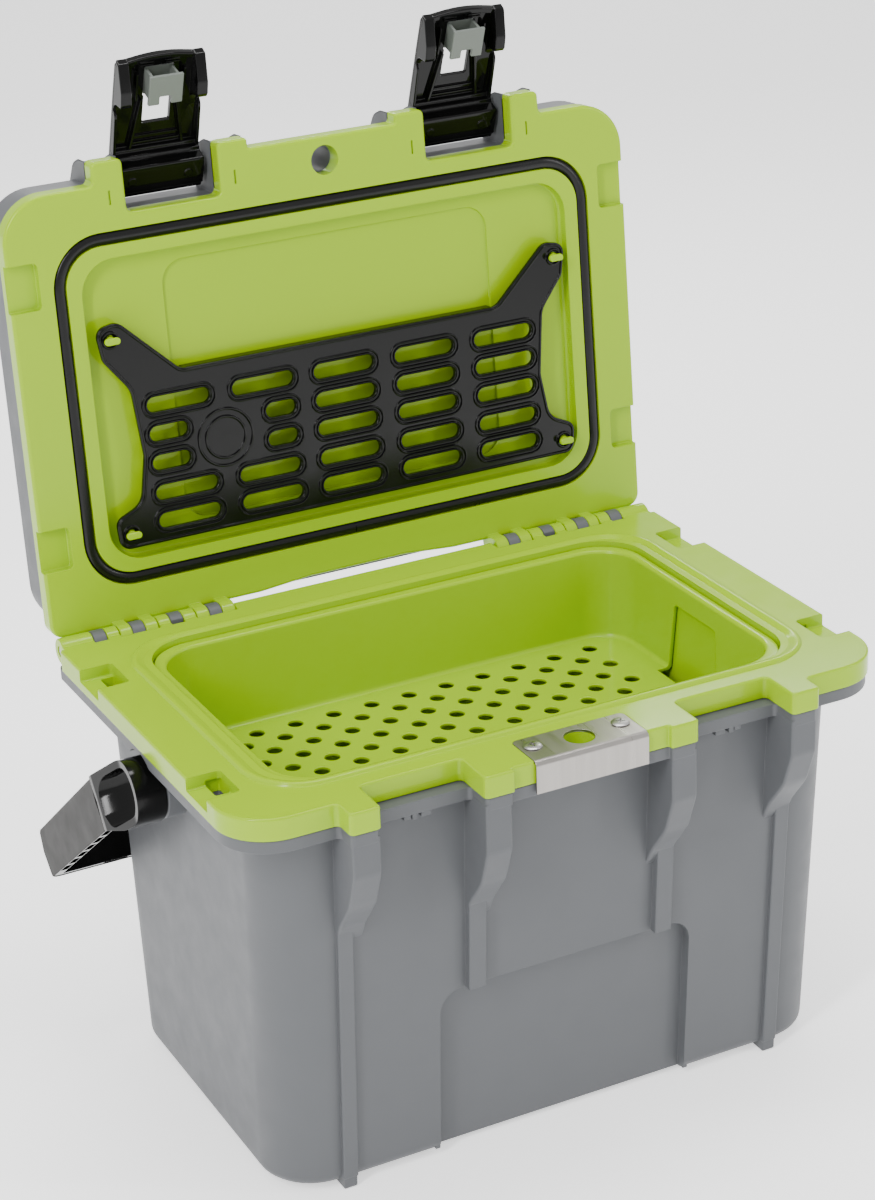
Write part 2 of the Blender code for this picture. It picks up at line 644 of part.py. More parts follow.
def build_lid_shell(pivot_empty, finish_material):
    """Grey outer skin of the lid, with the lugs that carry the latch pins."""
    low = LINER_TOP + GAP
    rings = [lid_shell_ring(0, low), lid_shell_ring(1.0, 38.0), lid_shell_ring(4.0, 46.5),
             lid_shell_ring(10.0, LID_TOP)]
    shell = loft("lid_shell", rings, parent=pivot_empty)

    def lug(low_x, high_x, reach):
        profile = [(-240.0, low), (-240.0, 47.0), (-reach + 17, 47.0), (-reach + 6, 40.0),
                   (-reach + 1.5, 29.0), (-reach, low)]
        return prism([Vector(p) for p in profile], low_x, high_x, "X")

    lugs = both_sides(lambda side: [
        lug(*span(side, LID_INNER_LUG[0], LID_INNER_LUG[1] + 1), LID_LUG - 0.5),
        lug(*span(side, LID_OUTER_LUG[0] - 1, LID_OUTER_LUG[1]), LID_LUG - 0.5)])
    join(shell, "lugs", *lugs)
    join(shell, "middle_block", lug(-LID_INNER_LUG[0] - 0.5, LID_INNER_LUG[0] + 0.5, LID_BLOCK - 0.5))
    bands = both_sides(lambda side: [
        prism(lid_barrel(4.7, 3.0, 24.0), *span(side, *knuckle[1]), "X")
        for knuckle in LID_KNUCKLES])
    join(shell, "hinge_bands", *bands)
    notches = both_sides(lambda side: [
        prism(rectangle(*span(side, LID_INNER_LUG[1], LID_OUTER_LUG[0]), -310.0, -LID_NOTCH),
              low - 5, LID_TOP + 5)])
    cut(shell, "latch_notches", *notches)
    cut(shell, "hollow", lid_hollow(0.0, low - 5))
    cut(shell, "lock_hole", prism(circle(0.0, -LID_LOCK[0], LID_LOCK[1]), low - 5, LID_TOP + 5))
    bores = both_sides(lambda side: [
        prism(circle(-LATCH_S, LATCH_H, 3.2, 12), *span(side, 65.5, 138.5), "X")])
    cut(shell, "latch_bores", *bores)
    cut(shell, "hinge_bores", lid_bore(-1), lid_bore(1))
    return finish(shell, finish_material)


def build_lid_foam(pivot_empty, finish_material):
    foam = loft("lid_foam", lid_hollow(GAP, LINER_TOP + GAP), parent=pivot_empty)
    return finish(foam, finish_material)


def build_gasket(pivot_empty, finish_material):
    """Rubber seal in the lid's groove."""
    gasket = loft("lid_gasket", prism(lid_box(GASKET_OUT), MATE + 0.1, MATE + GASKET_DEEP),
                  parent=pivot_empty)
    cut(gasket, "gasket_middle", prism(lid_box(GASKET_OUT, -GASKET_WIDE), MATE - 5, MATE + 20))
    return finish(gasket, finish_material)


def slot(x, s, length, width):
    """A round-ended slot in the organiser, long along x."""
    radius = width / 2
    reach = length / 2 - radius
    ends = []
    for side, start in ((1, -pi / 2), (-1, pi / 2)):
        ends += [Vector((x + side * reach + radius * cos(start + pi * n / 4),
                         -s + radius * sin(start + pi * n / 4))) for n in range(5)]
    return prism(ends, NET_FACE - 5, NET_FACE + NET_THICK + 5)


def build_organiser(pivot_empty, finish_material):
    """Rubber web with rows of slots, stretched between four hooks."""
    half = [
        (100.0, -163.0, 3.0), (111.0, -163.0, 8.0), (150.0, -199.0, 8.0), (164.0, -197.0, 7.0),
        (161.0, -176.0, 9.0), (145.0, -155.0, 14.0), (141.0, -112.0, 14.0), (146.0, -82.0, 10.0),
        (164.0, -74.0, 7.0), (162.5, -54.5, 7.0), (140.0, -54.5, 2.0),
    ]
    outline = rounded([(-x, y, r) for x, y, r in reversed(half)] + half)
    web = loft("organiser", prism(outline, NET_FACE, NET_FACE + NET_THICK), parent=pivot_empty)
    length, width = SLOT_SIZE
    slots = []
    for column, x in enumerate(SLOT_COLUMNS):
        for row, s in enumerate(SLOT_ROWS):
            beside_disc = row in (1, 2)
            if column == 0 and beside_disc:
                slots.append(slot(x - 8.3, s, length - 16.5, width))
            elif column == 1 and beside_disc:
                slots.append(slot(x + 10.7, s, length - 21.5, width))
            else:
                slots.append(slot(x, s, length, width))
    cut(web, "slots", *slots)
    holes = both_sides(lambda side: [
        prism(circle(side * x, -s, 3.2, 8), NET_FACE - 5, NET_FACE + NET_THICK + 5) for x, s in HOOKS])
    cut(web, "hook_holes", *holes)
    return finish(web, finish_material)


def lever_profile(points):
    """Side view of a latch: (along the lever, outward) to the lever's own (y, z)."""
    return [Vector((-out, -along)) for along, out in points]


def build_latch(word, side, lid_pivot, black, grey, steel):
    """Over-centre lever, its release button and the pin it turns on."""
    turning = pivot("latch_axis_" + word, -LATCH_S, LATCH_H, -LATCH_OPEN, lid_pivot)
    middle = side * LATCH_X
    low, high = middle - LEVER_HALF, middle + LEVER_HALF
    inner = LEVER_FACE - LEVER_WALL
    plate = [(-7.0, LEVER_FACE), (60.0, LEVER_FACE), (80.0, LEVER_FACE - 0.6), (LEVER_TIP, LEVER_FACE - 3.0),
             (LEVER_TIP - 1.0, inner - 3.0), (79.0, inner - 0.6), (60.0, inner), (19.0, inner),
             (18.0, -0.3), (15.4, -8.8), (-3.0, -9.6), (-7.5, -6.5), (-9.6, 0.0)]
    lever = loft("latch_lever_" + word, prism(lever_profile(plate), low, high, "X"), parent=turning)
    cheek = [(46.0, inner + 1.0), (55.0, 4.0), (57.2, -6.0), (65.0, -5.6), (82.0, 2.0), (84.5, inner - 0.5)]
    cheeks = [prism(lever_profile(cheek), x, x + 5.0, "X") for x in (low + 0.2, high - 5.2)]
    join(lever, "cheeks", *cheeks)
    reach = BUTTON_HALF + BUTTON_ROOM
    opening = rectangle(middle - reach, middle + reach, -BUTTON_SPAN[1] - BUTTON_ROOM,
                        -BUTTON_SPAN[0] + BUTTON_ROOM)
    cut(lever, "button_opening", prism(opening, -20.0, 20.0, "Y"))
    window = rectangle(middle - BUTTON_HALF, middle + 5.0, -55.0, -42.0)
    cut(lever, "window", prism(window, -20.0, 20.0, "Y"))
    cut(lever, "pin_bore", prism(circle(0.0, 0.0, PIN_BORE, 12), low - 5, high + 5, "X"))
    finish(lever, black)

    face = rectangle(middle - BUTTON_HALF, middle + BUTTON_HALF, -BUTTON_SPAN[1], -BUTTON_SPAN[0])
    button = loft("latch_button_" + word, prism(face, -BUTTON_BACK, -BUTTON_FACE, "Y"), parent=turning)
    nick = rectangle(middle - 3.8, middle + 3.8, -BUTTON_SPAN[0] - 6.5, -BUTTON_SPAN[0] + 5)
    cut(button, "nick", prism(nick, -BUTTON_FACE - 4.0, 20.0, "Y"))
    finish(button, grey)

    pin_low, pin_high = span(side, 66.0, 138.0)
    pin = loft("latch_pin_" + word, prism(circle(-LATCH_S, LATCH_H, 2.9, 16), pin_low, pin_high, "X"),
               parent=lid_pivot)
    finish(pin, steel, smooth=True)


def bail_band(outer, inner, low, high):
    """U-shaped block along both arms and the bar, between two depths in from the bail's outer face."""
    out, far = ARM_OUT - outer, GRIP_REACH - outer
    near, back = ARM_OUT - inner, GRIP_REACH - inner
    wide, tight = max(BAIL_CORNER - outer, 2.0), max(BAIL_CORNER - inner, 2.0)
    outline = [(-out, ARM_START, 0), (-near, ARM_START, 0), (-near, back, tight), (near, back, tight),
               (near, ARM_START, 0), (out, ARM_START, 0), (out, far, wide), (-out, far, wide)]
    return prism(rounded(outline), low, high)


def build_bail(turning, finish_material):
    """Grey outer half of the U-shaped bail, thinner along its lower edge."""
    side_view = rounded([(ARM_START, GRIP_LOW, 0), (GRIP_REACH, GRIP_LOW, 6.0), (GRIP_REACH, GRIP_HIGH, 5.0),
                         (ARM_START, GRIP_ROOT_HIGH, 0)])
    bail = loft("handle_bail", prism(side_view, -ARM_OUT, ARM_OUT, "X"), parent=turning)
    band = bail_band(0.0, BAIL_FACE, GRIP_LOW - 5, GRIP_ROOT_HIGH + 5)
    combine(bail, "INTERSECT", "outer_band", band)
    thick = ARM_OUT - ARM_IN
    cut(bail, "groove", bail_band(BAIL_WALL, thick, GRIP_LOW - 5, GRIP_LOW + GROOVE_DEEP))
    return finish(bail, finish_material)


def build_insert(turning, finish_material):
    """Black inner half of the bail, with a row of bays along its lower edge."""
    thick = ARM_OUT - ARM_IN
    foot = GRIP_LOW + 0.4
    step = GRIP_LOW + GROOVE_DEEP - GAP
    lining = loft("handle_insert", bail_band(BAIL_FACE + GAP, thick, foot, GRIP_HIGH - 1.0), parent=turning)
    join(lining, "lower_band", bail_band(BAIL_WALL + GAP, thick - 0.4, foot, step))
    edge = BAIL_WALL + GAP + INSERT_RIM
    width = thick - INSERT_RIM - edge
    low, high = GRIP_LOW - 10, GRIP_LOW + BAY_DEEP
    bays = []
    for n in range(ARM_BAYS):
        start = ARM_START + 5 + n * BAY_PITCH
        for x in (-ARM_OUT + edge, ARM_OUT - edge - width):
            bays.append(prism(rectangle(x, x + width, start, start + BAY_LONG), low, high))
    far = GRIP_REACH - edge
    for n in range(-BAR_BAYS, BAR_BAYS + 1):
        start = n * BAY_PITCH - BAY_LONG / 2
        bays.append(prism(rectangle(start, start + BAY_LONG, far - width, far), low, high))
    cut(lining, "bays", *bays)
    return finish(lining, finish_material)


def build_hub(word, side, turning, finish_material):
    """Black hub round an axle, with a deep cup in it and a shoulder that slants out to the arm."""
    root = ARM_START - GAP
    side_view = rounded([(-HUB_RADIUS, -HUB_RADIUS, 19.5), (8.0, -HUB_RADIUS, 12.0), (root, GRIP_LOW, 0),
                         (root, GRIP_ROOT_HIGH, 0), (-HUB_RADIUS, HUB_RADIUS + 0.3, 19.5)])
    low, high = span(side, BOSS_END + GAP, ARM_OUT)
    hub = loft("handle_hub_" + word, prism(side_view, low, high, "X"), parent=turning)
    plan = [(BOSS_END - 5, -HUB_RADIUS - 2), (HUB_END, -HUB_RADIUS - 2), (HUB_END, -6.0),
            (ARM_OUT, 27.0), (ARM_OUT, root + 3), (ARM_IN, root + 3), (ARM_IN, 27.0), (HUB_INNER, HUB_RADIUS),
            (HUB_INNER, 12.0), (BOSS_END - 5, 12.0)]
    outline = [Vector((side * x, r)) for x, r in plan]
    combine(hub, "INTERSECT", "shoulder", prism(outline, -40.0, 40.0))
    cup = []
    for x, reach in ((210.0, 8.0), (HUB_INNER + 2, 10.0), (HUB_INNER + 8, 18.0), (HUB_END + 15, 26.0)):
        shape = rounded([(-14.5, -14.5, 14.0), (reach - 3, -14.5, 6.5), (reach, -8.0, 3.0),
                         (reach, 14.0, 6.5), (-14.5, 14.5, 14.0)])
        cup.append(place(shape, side * x, "X"))
    cut(hub, "cup", cup)
    cut(hub, "hub_bore", prism(circle(0.0, 0.0, AXLE_RADIUS + 0.8, 12), *span(side, 200.0, 215.0), "X"))
    return finish(hub, finish_material)


def build_handle(grey, black, steel):
    """Bail handle on two hubs, hanging behind the body, and the axles it swings on."""
    turning = pivot("handle_axis", GRIP_Y, GRIP_Z, -GRIP_DROP)
    build_bail(turning, grey)
    build_insert(turning, black)
    for word, side in (("left", -1), ("right", 1)):
        build_hub(word, side, turning, black)
        low, high = span(side, 198.0, 215.6)
        axle = loft("handle_axle_" + word, prism(circle(GRIP_Y, GRIP_Z, AXLE_RADIUS, 16), low, high, "X"))
        finish(axle, steel, smooth=True)


def build_cooler():
    green = material("green_plastic", GREEN, 0.3)
    grey = material("grey_plastic", GREY, 0.5)
    black = material("black_plastic", BLACK, 0.25)
    rubber = material("black_rubber", BLACK, 0.55)
    foam = material("foam", FOAM, 0.9)
    steel = material("brushed_steel", STEEL, 0.35, 1.0)
    handle_grey = material("handle_grey", HANDLE_GREY, 0.5)
    button_grey = material("button_grey", BUTTON_GREY, 0.5)
    build_shell(grey)
    build_foam(foam)
    build_liner(green)
    build_tray(green)
    build_hinge_pins(steel)
    build_plate(steel, steel)
    lid_pivot = pivot("lid_axis", HINGE_Y, HINGE_Z, -LID_OPEN)
    build_lid_liner(lid_pivot, green)
    build_lid_shell(lid_pivot, grey)
    build_lid_foam(lid_pivot, foam)
    build_gasket(lid_pivot, rubber)
    build_organiser(lid_pivot, rubber)
    for word, side in (("left", -1), ("right", 1)):
        build_latch(word, side, lid_pivot, black, button_grey, steel)
    build_handle(handle_grey, black, steel)


build_cooler()
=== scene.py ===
"""Looks of the cooler chest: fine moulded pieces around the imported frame, materials, light and camera."""

import json
from math import acos, atan2, cos, pi, radians, sin, sqrt, tan

import bmesh
import bpy
from mathutils import Matrix, Vector


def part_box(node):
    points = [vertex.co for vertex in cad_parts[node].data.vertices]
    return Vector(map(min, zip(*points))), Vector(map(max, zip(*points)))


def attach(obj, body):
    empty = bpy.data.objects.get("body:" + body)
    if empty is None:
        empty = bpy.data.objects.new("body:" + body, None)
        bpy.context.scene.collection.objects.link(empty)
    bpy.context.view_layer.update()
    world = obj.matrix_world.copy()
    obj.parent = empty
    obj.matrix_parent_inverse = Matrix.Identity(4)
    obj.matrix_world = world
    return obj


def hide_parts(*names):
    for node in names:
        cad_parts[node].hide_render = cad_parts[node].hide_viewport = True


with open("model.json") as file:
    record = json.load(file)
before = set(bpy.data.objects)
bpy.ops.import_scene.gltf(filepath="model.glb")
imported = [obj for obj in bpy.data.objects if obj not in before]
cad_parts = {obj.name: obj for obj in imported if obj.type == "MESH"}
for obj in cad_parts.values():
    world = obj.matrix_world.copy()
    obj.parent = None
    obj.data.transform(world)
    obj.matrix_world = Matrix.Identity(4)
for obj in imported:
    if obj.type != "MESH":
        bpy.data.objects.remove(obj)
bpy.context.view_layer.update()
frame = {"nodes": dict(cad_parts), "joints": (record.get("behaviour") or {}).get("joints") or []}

MM = 0.001
JOINTS = {joint["name"]: joint for joint in frame["joints"]}


def joint_place(name):
    """A joint's (y, z) at rest, in millimetres."""
    place = JOINTS[name]["pos_m"]
    return place[1] / MM, place[2] / MM


# ---- Sizes in millimetres, read from the frame where it says them ----
# Joints and the gap between neighbours
HINGE_Y, HINGE_Z = joint_place("lid_hinge")
LID_OPEN = -JOINTS["lid_hinge"]["range_deg"][0]
LATCH_OPEN = -JOINTS["latch_left_pivot"]["range_deg"][0]
LATCH_X = JOINTS["latch_right_pivot"]["pos_m"][0] / MM
GRIP_Y, GRIP_Z = joint_place("handle_swing")
GAP = 0.3

# Body: heights are in z, fronts and backs in y
FLANGE_TOP = HINGE_Z + 5.2
FLANGE_LOW = FLANGE_TOP - 13.9
FLANGE_HALF = 215.0
FLANGE_FRONT = -141.8
FLANGE_BACK = 141.5
LIP_LOW = FLANGE_TOP - 22.5
SHELL_WALL = 3.0
# Half width, front, back and corner radius of the tub at z = 0 and at its head
TUB_FOOT = (190.0, -114.0, 122.5, 36.0)
TUB_HEAD = (193.0, -129.7, 136.0, 38.0)
TUB_HEAD_Z = 245.5
RECESS_HALF = 86.0
RECESS_HIGH = 114.0
RECESS_IN = 7.5
LUG_FRONT = -157.2
BLOCK_FRONT = -153.7
NOTCH_BACK = -128.3
LEDGE_FRONT = -137.5
# Spans across x of the two lugs beside each latch notch
INNER_LUG = (51.5, 70.5)
OUTER_LUG = (134.9, 154.3)
# Half width, half depth and corner radius
OPENING = (168.4, 103.4, 30.0)
REBATE = (172.7, 108.7, 31.7)
BEAD = (182.5, 113.0, 34.0)
TIE_X = 194.0
TIE_SPANS = ((-100.0, -70.0), (66.0, 97.0))
TIE_HOLES = ((-84.0, -68.0), (78.0, 94.0))
LINER_FLOOR = 38.0
# y of the middle and radius
LOCK_HOLE = (-139.7, 9.4)
SCREW_X, SCREW_Y = 29.0, -137.0
PLATE_HALF = 37.0

# Tray: half width, half depth and corner radius
TRAY_LIP = (172.0, 108.0, 31.0)
TRAY_TOP = (165.4, 100.4, 28.0)
TRAY_FLOOR = (163.6, 97.6, 26.0)
TRAY_WALL = 2.0
TRAY_LIP_TOP = FLANGE_TOP - 3.2
TRAY_BASE = FLANGE_TOP - 64.0
HOLE_PITCH = (26.9, 13.6)

# Hinge: each knuckle is a green, a grey and a green part
BARREL = 8.3
PIN_BORE = 3.4
PIN_SPAN = (90.0, 220.0)
BODY_KNUCKLES = (((121.8, 130.4), (130.7, 139.0), (139.3, 147.2)),
                 ((173.8, 182.1), (182.4, 190.9), (191.2, 212.0)))
LID_KNUCKLES = (((95.0, 103.8), (104.1, 112.5), (112.8, 121.2)),
                ((147.8, 156.2), (156.5, 165.0), (165.3, 173.2)))

# Lid: heights are from the hinge line outwards, distances from the hinge towards the front
MATE = 7.4
LINER_TOP = 19.4
LID_TOP = 50.0
LID_HALF = 213.5
LID_FRONT = 283.0
LID_BLOCK = 291.0
LID_LUG = 297.3
LID_NOTCH = 264.3
LID_INNER_LUG = (50.5, 71.0)
LID_OUTER_LUG = (133.0, 153.5)
# Half width, near, far and corner radius
GASKET_OUT = (185.0, 30.5, 254.0, 32.0)
GASKET_WIDE = 7.2
RECESS = (168.0, 46.0, 238.0, 22.0)
PANEL = (113.0, 62.0, 229.0, 15.0)
GASKET_ROOM = 0.5
RECESS_DEEP = 7.0
LID_TIES = ((49.0, 76.0), (214.0, 243.0))
# Distance of the middle and radius
LID_LOCK = (275.9, 9.25)
LATCH_S, LATCH_H = 277.0, 36.0
LATCH_BORE = 3.2

# Organiser: hooks and slots are placed by (across, distance from the hinge)
HOOKS = ((155.0, 189.0), (155.0, 64.3))
HOOK_HOLE = 3.2
NET_FACE = 3.2
NET_THICK = 3.0
SLOT_COLUMNS = (-114.7, -57.2, -0.8, 56.8, 114.5)
SLOT_ROWS = (143.5, 124.8, 106.0, 86.5, 68.2)
SLOT_SIZE = (42.5, 10.0)

# Latches and handle
LEVER_HALF = 28.4
GRIP_DROP = 37.4
HUB_RADIUS = 20.0
HUB_ROOM = 4.5
HUB_BORE = 7.6
AXLE_BORE = 7.5
BOSS_END = 205.5
HUB_END = 224.7
ARM_IN = 225.3
ARM_OUT = 234.0
ARM_START = 31.3
GRIP_REACH = 180.0
BAIL_CORNER = 9.2
BAIL_WALL = 1.8
BAIL_FACE = 5.0
BAIL_THICK = ARM_OUT - ARM_IN
BAY_PITCH, BAY_LONG = 21.0, 16.5
HUB_INNER = 214.4
GRIP_LOW = -13.5
GRIP_HIGH = 18.5
GRIP_ROOT_HIGH = 20.5

LID_AXES = (Matrix.Translation((0, HINGE_Y * MM, HINGE_Z * MM))
            @ Matrix.Rotation(radians(-LID_OPEN), 4, "X"))
LATCH_AXES = (LID_AXES @ Matrix.Translation((0, -LATCH_S * MM, LATCH_H * MM))
              @ Matrix.Rotation(radians(-LATCH_OPEN), 4, "X"))
GRIP_AXES = (Matrix.Translation((0, GRIP_Y * MM, GRIP_Z * MM))
             @ Matrix.Rotation(radians(-GRIP_DROP), 4, "X"))


# ---- Camera, first of all ----
def new_object(name, data):
    made = bpy.data.objects.new(name, data)
    bpy.context.scene.collection.objects.link(made)
    return made


def make_camera():
    """Long lens from the left front, a little above the rim."""
    data = bpy.data.cameras.new("camera")
    data.sensor_width = 36.0
    data.lens = 85.94
    data.clip_end = 20.0
    camera = new_object("camera", data)
    camera.location = (-0.7243, -1.4189, 1.0042)
    camera.rotation_euler = (radians(66.189), radians(2.0008), radians(-27.358))
    bpy.context.scene.camera = camera


make_camera()


# ---- Outlines ----
def corner_steps(radius):
    return 0 if radius == 0 else 12 if radius > 12 else 7 if radius > 5 else 4


def rounded(corners, counts=None):
    """Points of a closed outline whose corners are (u, v, fillet radius)."""
    counts = counts or [corner_steps(radius) for _, _, radius in corners]
    points = []
    for number, (u, v, radius) in enumerate(corners):
        here = Vector((u, v))
        if counts[number] == 0:
            points.append(here)
            continue
        behind = (Vector(corners[number - 1][:2]) - here).normalized()
        ahead = (Vector(corners[(number + 1) % len(corners)][:2]) - here).normalized()
        half = behind.angle(ahead) / 2
        middle = here + (behind + ahead).normalized() * radius / sin(half)
        first = here + behind * radius / tan(half) - middle
        last = here + ahead * radius / tan(half) - middle
        turn = atan2(first.x * last.y - first.y * last.x, first.dot(last))
        start = atan2(first.y, first.x)
        for step in range(counts[number] + 1):
            angle = start + turn * step / counts[number]
            points.append(middle + Vector((cos(angle), sin(angle))) * radius)
    return points


def offset(corners, inset):
    """The same corners moved inwards, counter-clockwise, with radii about the same centres."""
    moved = []
    for number, (u, v, radius) in enumerate(corners):
        here = Vector((u, v))
        came = (here - Vector(corners[number - 1][:2])).normalized()
        goes = (Vector(corners[(number + 1) % len(corners)][:2]) - here).normalized()
        left, right = Vector((-came.y, came.x)), Vector((-goes.y, goes.x))
        here += (left + right) * inset / (1 + left.dot(right))
        outward = came.x * goes.y - came.y * goes.x > 0
        size = radius - inset if outward else radius + inset
        moved.append((here.x, here.y, max(size, 0.05) if radius > 0 else 0))
    return moved


def mirrored(half):
    """A whole outline from its right half, listed from the front middle to the back middle."""
    return half + [(-x, y, r) for x, y, r in reversed(half) if x > 0]


def lugged_half(inner, outer, half_x, fronts, radii):
    """Right half of a front edge: middle block, inner lug, latch notch, outer lug and corner."""
    block, lug, notch, front = fronts
    places = ((inner[0], block), (inner[0], lug), (inner[1], lug), (inner[1], notch), (outer[0], notch),
              (outer[0], lug), (outer[1], lug), (outer[1], front), (half_x, front))
    return [(*place, radius) for place, radius in zip(places, radii)]


def counter_clockwise(corners):
    area = sum(a[0] * b[1] - b[0] * a[1] for a, b in zip(corners, corners[1:] + corners[:1]))
    return corners if area > 0 else corners[::-1]


def box_corners(half_x, front, back, radius):
    return rectangle(-half_x, half_x, front, back, radius)


def box_outline(half_x, front, back, radius):
    return rounded(box_corners(half_x, front, back, radius))


def rectangle(low_u, high_u, low_v, high_v, radius=0.0):
    return [(u, v, radius) for u, v in ((low_u, low_v), (high_u, low_v), (high_u, high_v), (low_u, high_v))]


def circle(u, v, radius, sides=40):
    return [Vector((u + radius * cos(2 * pi * n / sides), v + radius * sin(2 * pi * n / sides)))
            for n in range(sides)]


def place(outline, level, axis):
    """The outline's (u, v) points set at a level along X, Y or Z."""
    if axis == "X":
        return [(level, u, v) for u, v in outline]
    if axis == "Y":
        return [(u, level, v) for u, v in outline]
    return [(u, v, level) for u, v in outline]


def prism(outline, low, high, axis="Z"):
    return [place(outline, low, axis), place(outline, high, axis)]


def slab(corners, low, high, axis="Z", soft_low=0.0, soft_high=0.0, steps=4):
    """A block over a cornered outline, with its end edges rounded by soft_low and soft_high."""
    counts = [corner_steps(radius) for _, _, radius in corners]
    rings = []
    for soft, level, sign in ((soft_low, low, 1), (soft_high, high, -1)):
        end = []
        for n in range(steps + 1 if soft else 1):
            angle = (pi / 2) * n / steps if soft else 0.0
            inset = soft * (1 - sin(angle))
            depth = soft * (1 - cos(angle))
            end.append(place(rounded(offset(corners, inset), counts), level + sign * depth, axis))
        rings += end if sign > 0 else end[::-1]
    return rings


def drum(centre, turns, axis="X", sides=40):
    """A turned body about a line through centre, from (level, radius) pairs."""
    return [place(circle(*centre, radius, sides), level, axis) for level, radius in turns]


def grown_ring(size, grow, z):
    """Level outline of a (half width, half depth, corner radius) box, grown all round."""
    half_x, half_y, radius = size
    return place(box_outline(half_x + grow, -half_y - grow, half_y + grow, radius + grow), z, "Z")


def both_sides(build):
    """The bodies that build gives for the left side, then those for the right."""
    return [body for side in (-1, 1) for body in build(side)]


def span(side, low, high):
    """A span across x, on the side's own half."""
    return (side * high, side * low) if side < 0 else (low, high)


SIDES = (("left", -1), ("right", 1))


# ---- Meshes ----
def add_skin(mesh, rings):
    """One closed body through rings of equal length, capped unless the last ring is the first."""
    closed = rings[0] is rings[-1]
    rows = [[mesh.verts.new(Vector(point) * MM) for point in ring] for ring in rings[closed:]]
    count = len(rows[0])
    faces = [] if closed else [mesh.faces.new(rows[0]), mesh.faces.new(rows[-1])]
    rows = [rows[-1]] * closed + rows
    for low, high in zip(rows, rows[1:]):
        for n in range(count):
            after = (n + 1) % count
            faces.append(mesh.faces.new((low[n], low[after], high[after], high[n])))
    bmesh.ops.recalc_face_normals(mesh, faces=faces)


def mesh_object(name, bodies, axes):
    mesh = bmesh.new()
    for rings in bodies:
        add_skin(mesh, rings)
    mesh.transform(axes)
    data = bpy.data.meshes.new(name)
    mesh.to_mesh(data)
    mesh.free()
    return new_object(name, data)


class Piece:
    """A visible piece: a mesh that is joined to and cut in its body's own axes."""

    def __init__(self, name, *bodies, axes=Matrix.Identity(4)):
        self.axes = axes
        self.object = mesh_object(name, bodies, axes)

    def combine(self, operation, *bodies):
        tool = mesh_object("tool", bodies, self.axes)
        step = self.object.modifiers.new("step", "BOOLEAN")
        step.operation = operation
        step.solver = "EXACT"
        step.object = tool
        depsgraph = bpy.context.evaluated_depsgraph_get()
        result = bpy.data.meshes.new_from_object(self.object.evaluated_get(depsgraph))
        self.object.modifiers.clear()
        old, self.object.data = self.object.data, result
        bpy.data.meshes.remove(old)
        bpy.data.objects.remove(tool)

    def join(self, *bodies):
        for body in bodies:
            self.combine("UNION", body)

    def cut(self, *bodies):
        """Cut by bodies that stay clear of each other."""
        self.combine("DIFFERENCE", *bodies)

    def keep(self, *bodies):
        self.combine("INTERSECT", *bodies)

    def add(self, *bodies):
        """More closed bodies beside or on this one, without a Boolean."""
        extra = mesh_object("extra", bodies, self.axes)
        mesh = bmesh.new()
        mesh.from_mesh(self.object.data)
        mesh.from_mesh(extra.data)
        mesh.to_mesh(self.object.data)
        mesh.free()
        bpy.data.objects.remove(extra)

    def done(self, material, body, slot, *nodes, sharp=32, bevel=0.0):
        data = self.object.data
        data.materials.clear()
        data.materials.append(material)
        data.shade_smooth()
        data.set_sharp_from_angle(angle=radians(sharp))
        if bevel:
            edge = self.object.modifiers.new("edges", "BEVEL")
            edge.width = bevel * MM
            edge.segments = 3
            edge.limit_method = "ANGLE"
            edge.angle_limit = radians(sharp)
        normals = self.object.modifiers.new("normals", "WEIGHTED_NORMAL")
        normals.keep_sharp = True
        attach(self.object, body)
        if nodes:
            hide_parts(*nodes)


# ---- Materials ----
def set_inputs(node, values):
    for key, value in values.items():
        node.inputs[key].default_value = value


class Nodes:
    """A short way to wire a procedural material."""

    def __init__(self, name):
        self.material = bpy.data.materials.new(name)
        self.material.use_nodes = True
        self.tree = self.material.node_tree
        self.shader = self.tree.nodes["Principled BSDF"]
        self.place = self.new("ShaderNodeTexCoord").outputs["Object"]

    def new(self, kind, **settings):
        node = self.tree.nodes.new(kind)
        for key, value in settings.items():
            setattr(node, key, value)
        return node

    def link(self, source, target):
        self.tree.links.new(source, target)

    def noise(self, scale, detail=2.0, stretch=(1.0, 1.0, 1.0), rough=0.5):
        mapping = self.new("ShaderNodeMapping")
        set_inputs(mapping, {"Scale": stretch})
        self.link(self.place, mapping.inputs["Vector"])
        noise = self.new("ShaderNodeTexNoise")
        set_inputs(noise, {"Scale": scale, "Detail": detail, "Roughness": rough})
        self.link(mapping.outputs["Vector"], noise.inputs["Vector"])
        return noise.outputs["Fac"]

    def spread(self, value, low, high, target, span_low=0.3, span_high=0.7):
        rule = self.new("ShaderNodeMapRange")
        set_inputs(rule, {"From Min": span_low, "From Max": span_high, "To Min": low, "To Max": high})
        self.link(value, rule.inputs["Value"])
        self.link(rule.outputs["Result"], target)

    def blend(self, value, first, second):
        mix = self.new("ShaderNodeMix", data_type="RGBA")
        self.link(value, mix.inputs["Factor"])
        colours = [socket for socket in mix.inputs if socket.type == "RGBA"]
        for socket, colour in zip(colours, (first, second)):
            if isinstance(colour, tuple):
                socket.default_value = (*colour, 1.0)
            else:
                self.link(colour, socket)
        return [socket for socket in mix.outputs if socket.type == "RGBA"][0]

    def surface(self, height, distance, strength, edge):
        """Fine relief over edges that are rounded by a small radius."""
        soft = self.new("ShaderNodeBevel", samples=6)
        set_inputs(soft, {"Radius": edge * MM})
        bump = self.new("ShaderNodeBump")
        set_inputs(bump, {"Strength": strength, "Distance": distance * MM})
        self.link(height, bump.inputs["Height"])
        self.link(soft.outputs["Normal"], bump.inputs["Normal"])
        self.link(bump.outputs["Normal"], self.shader.inputs["Normal"])


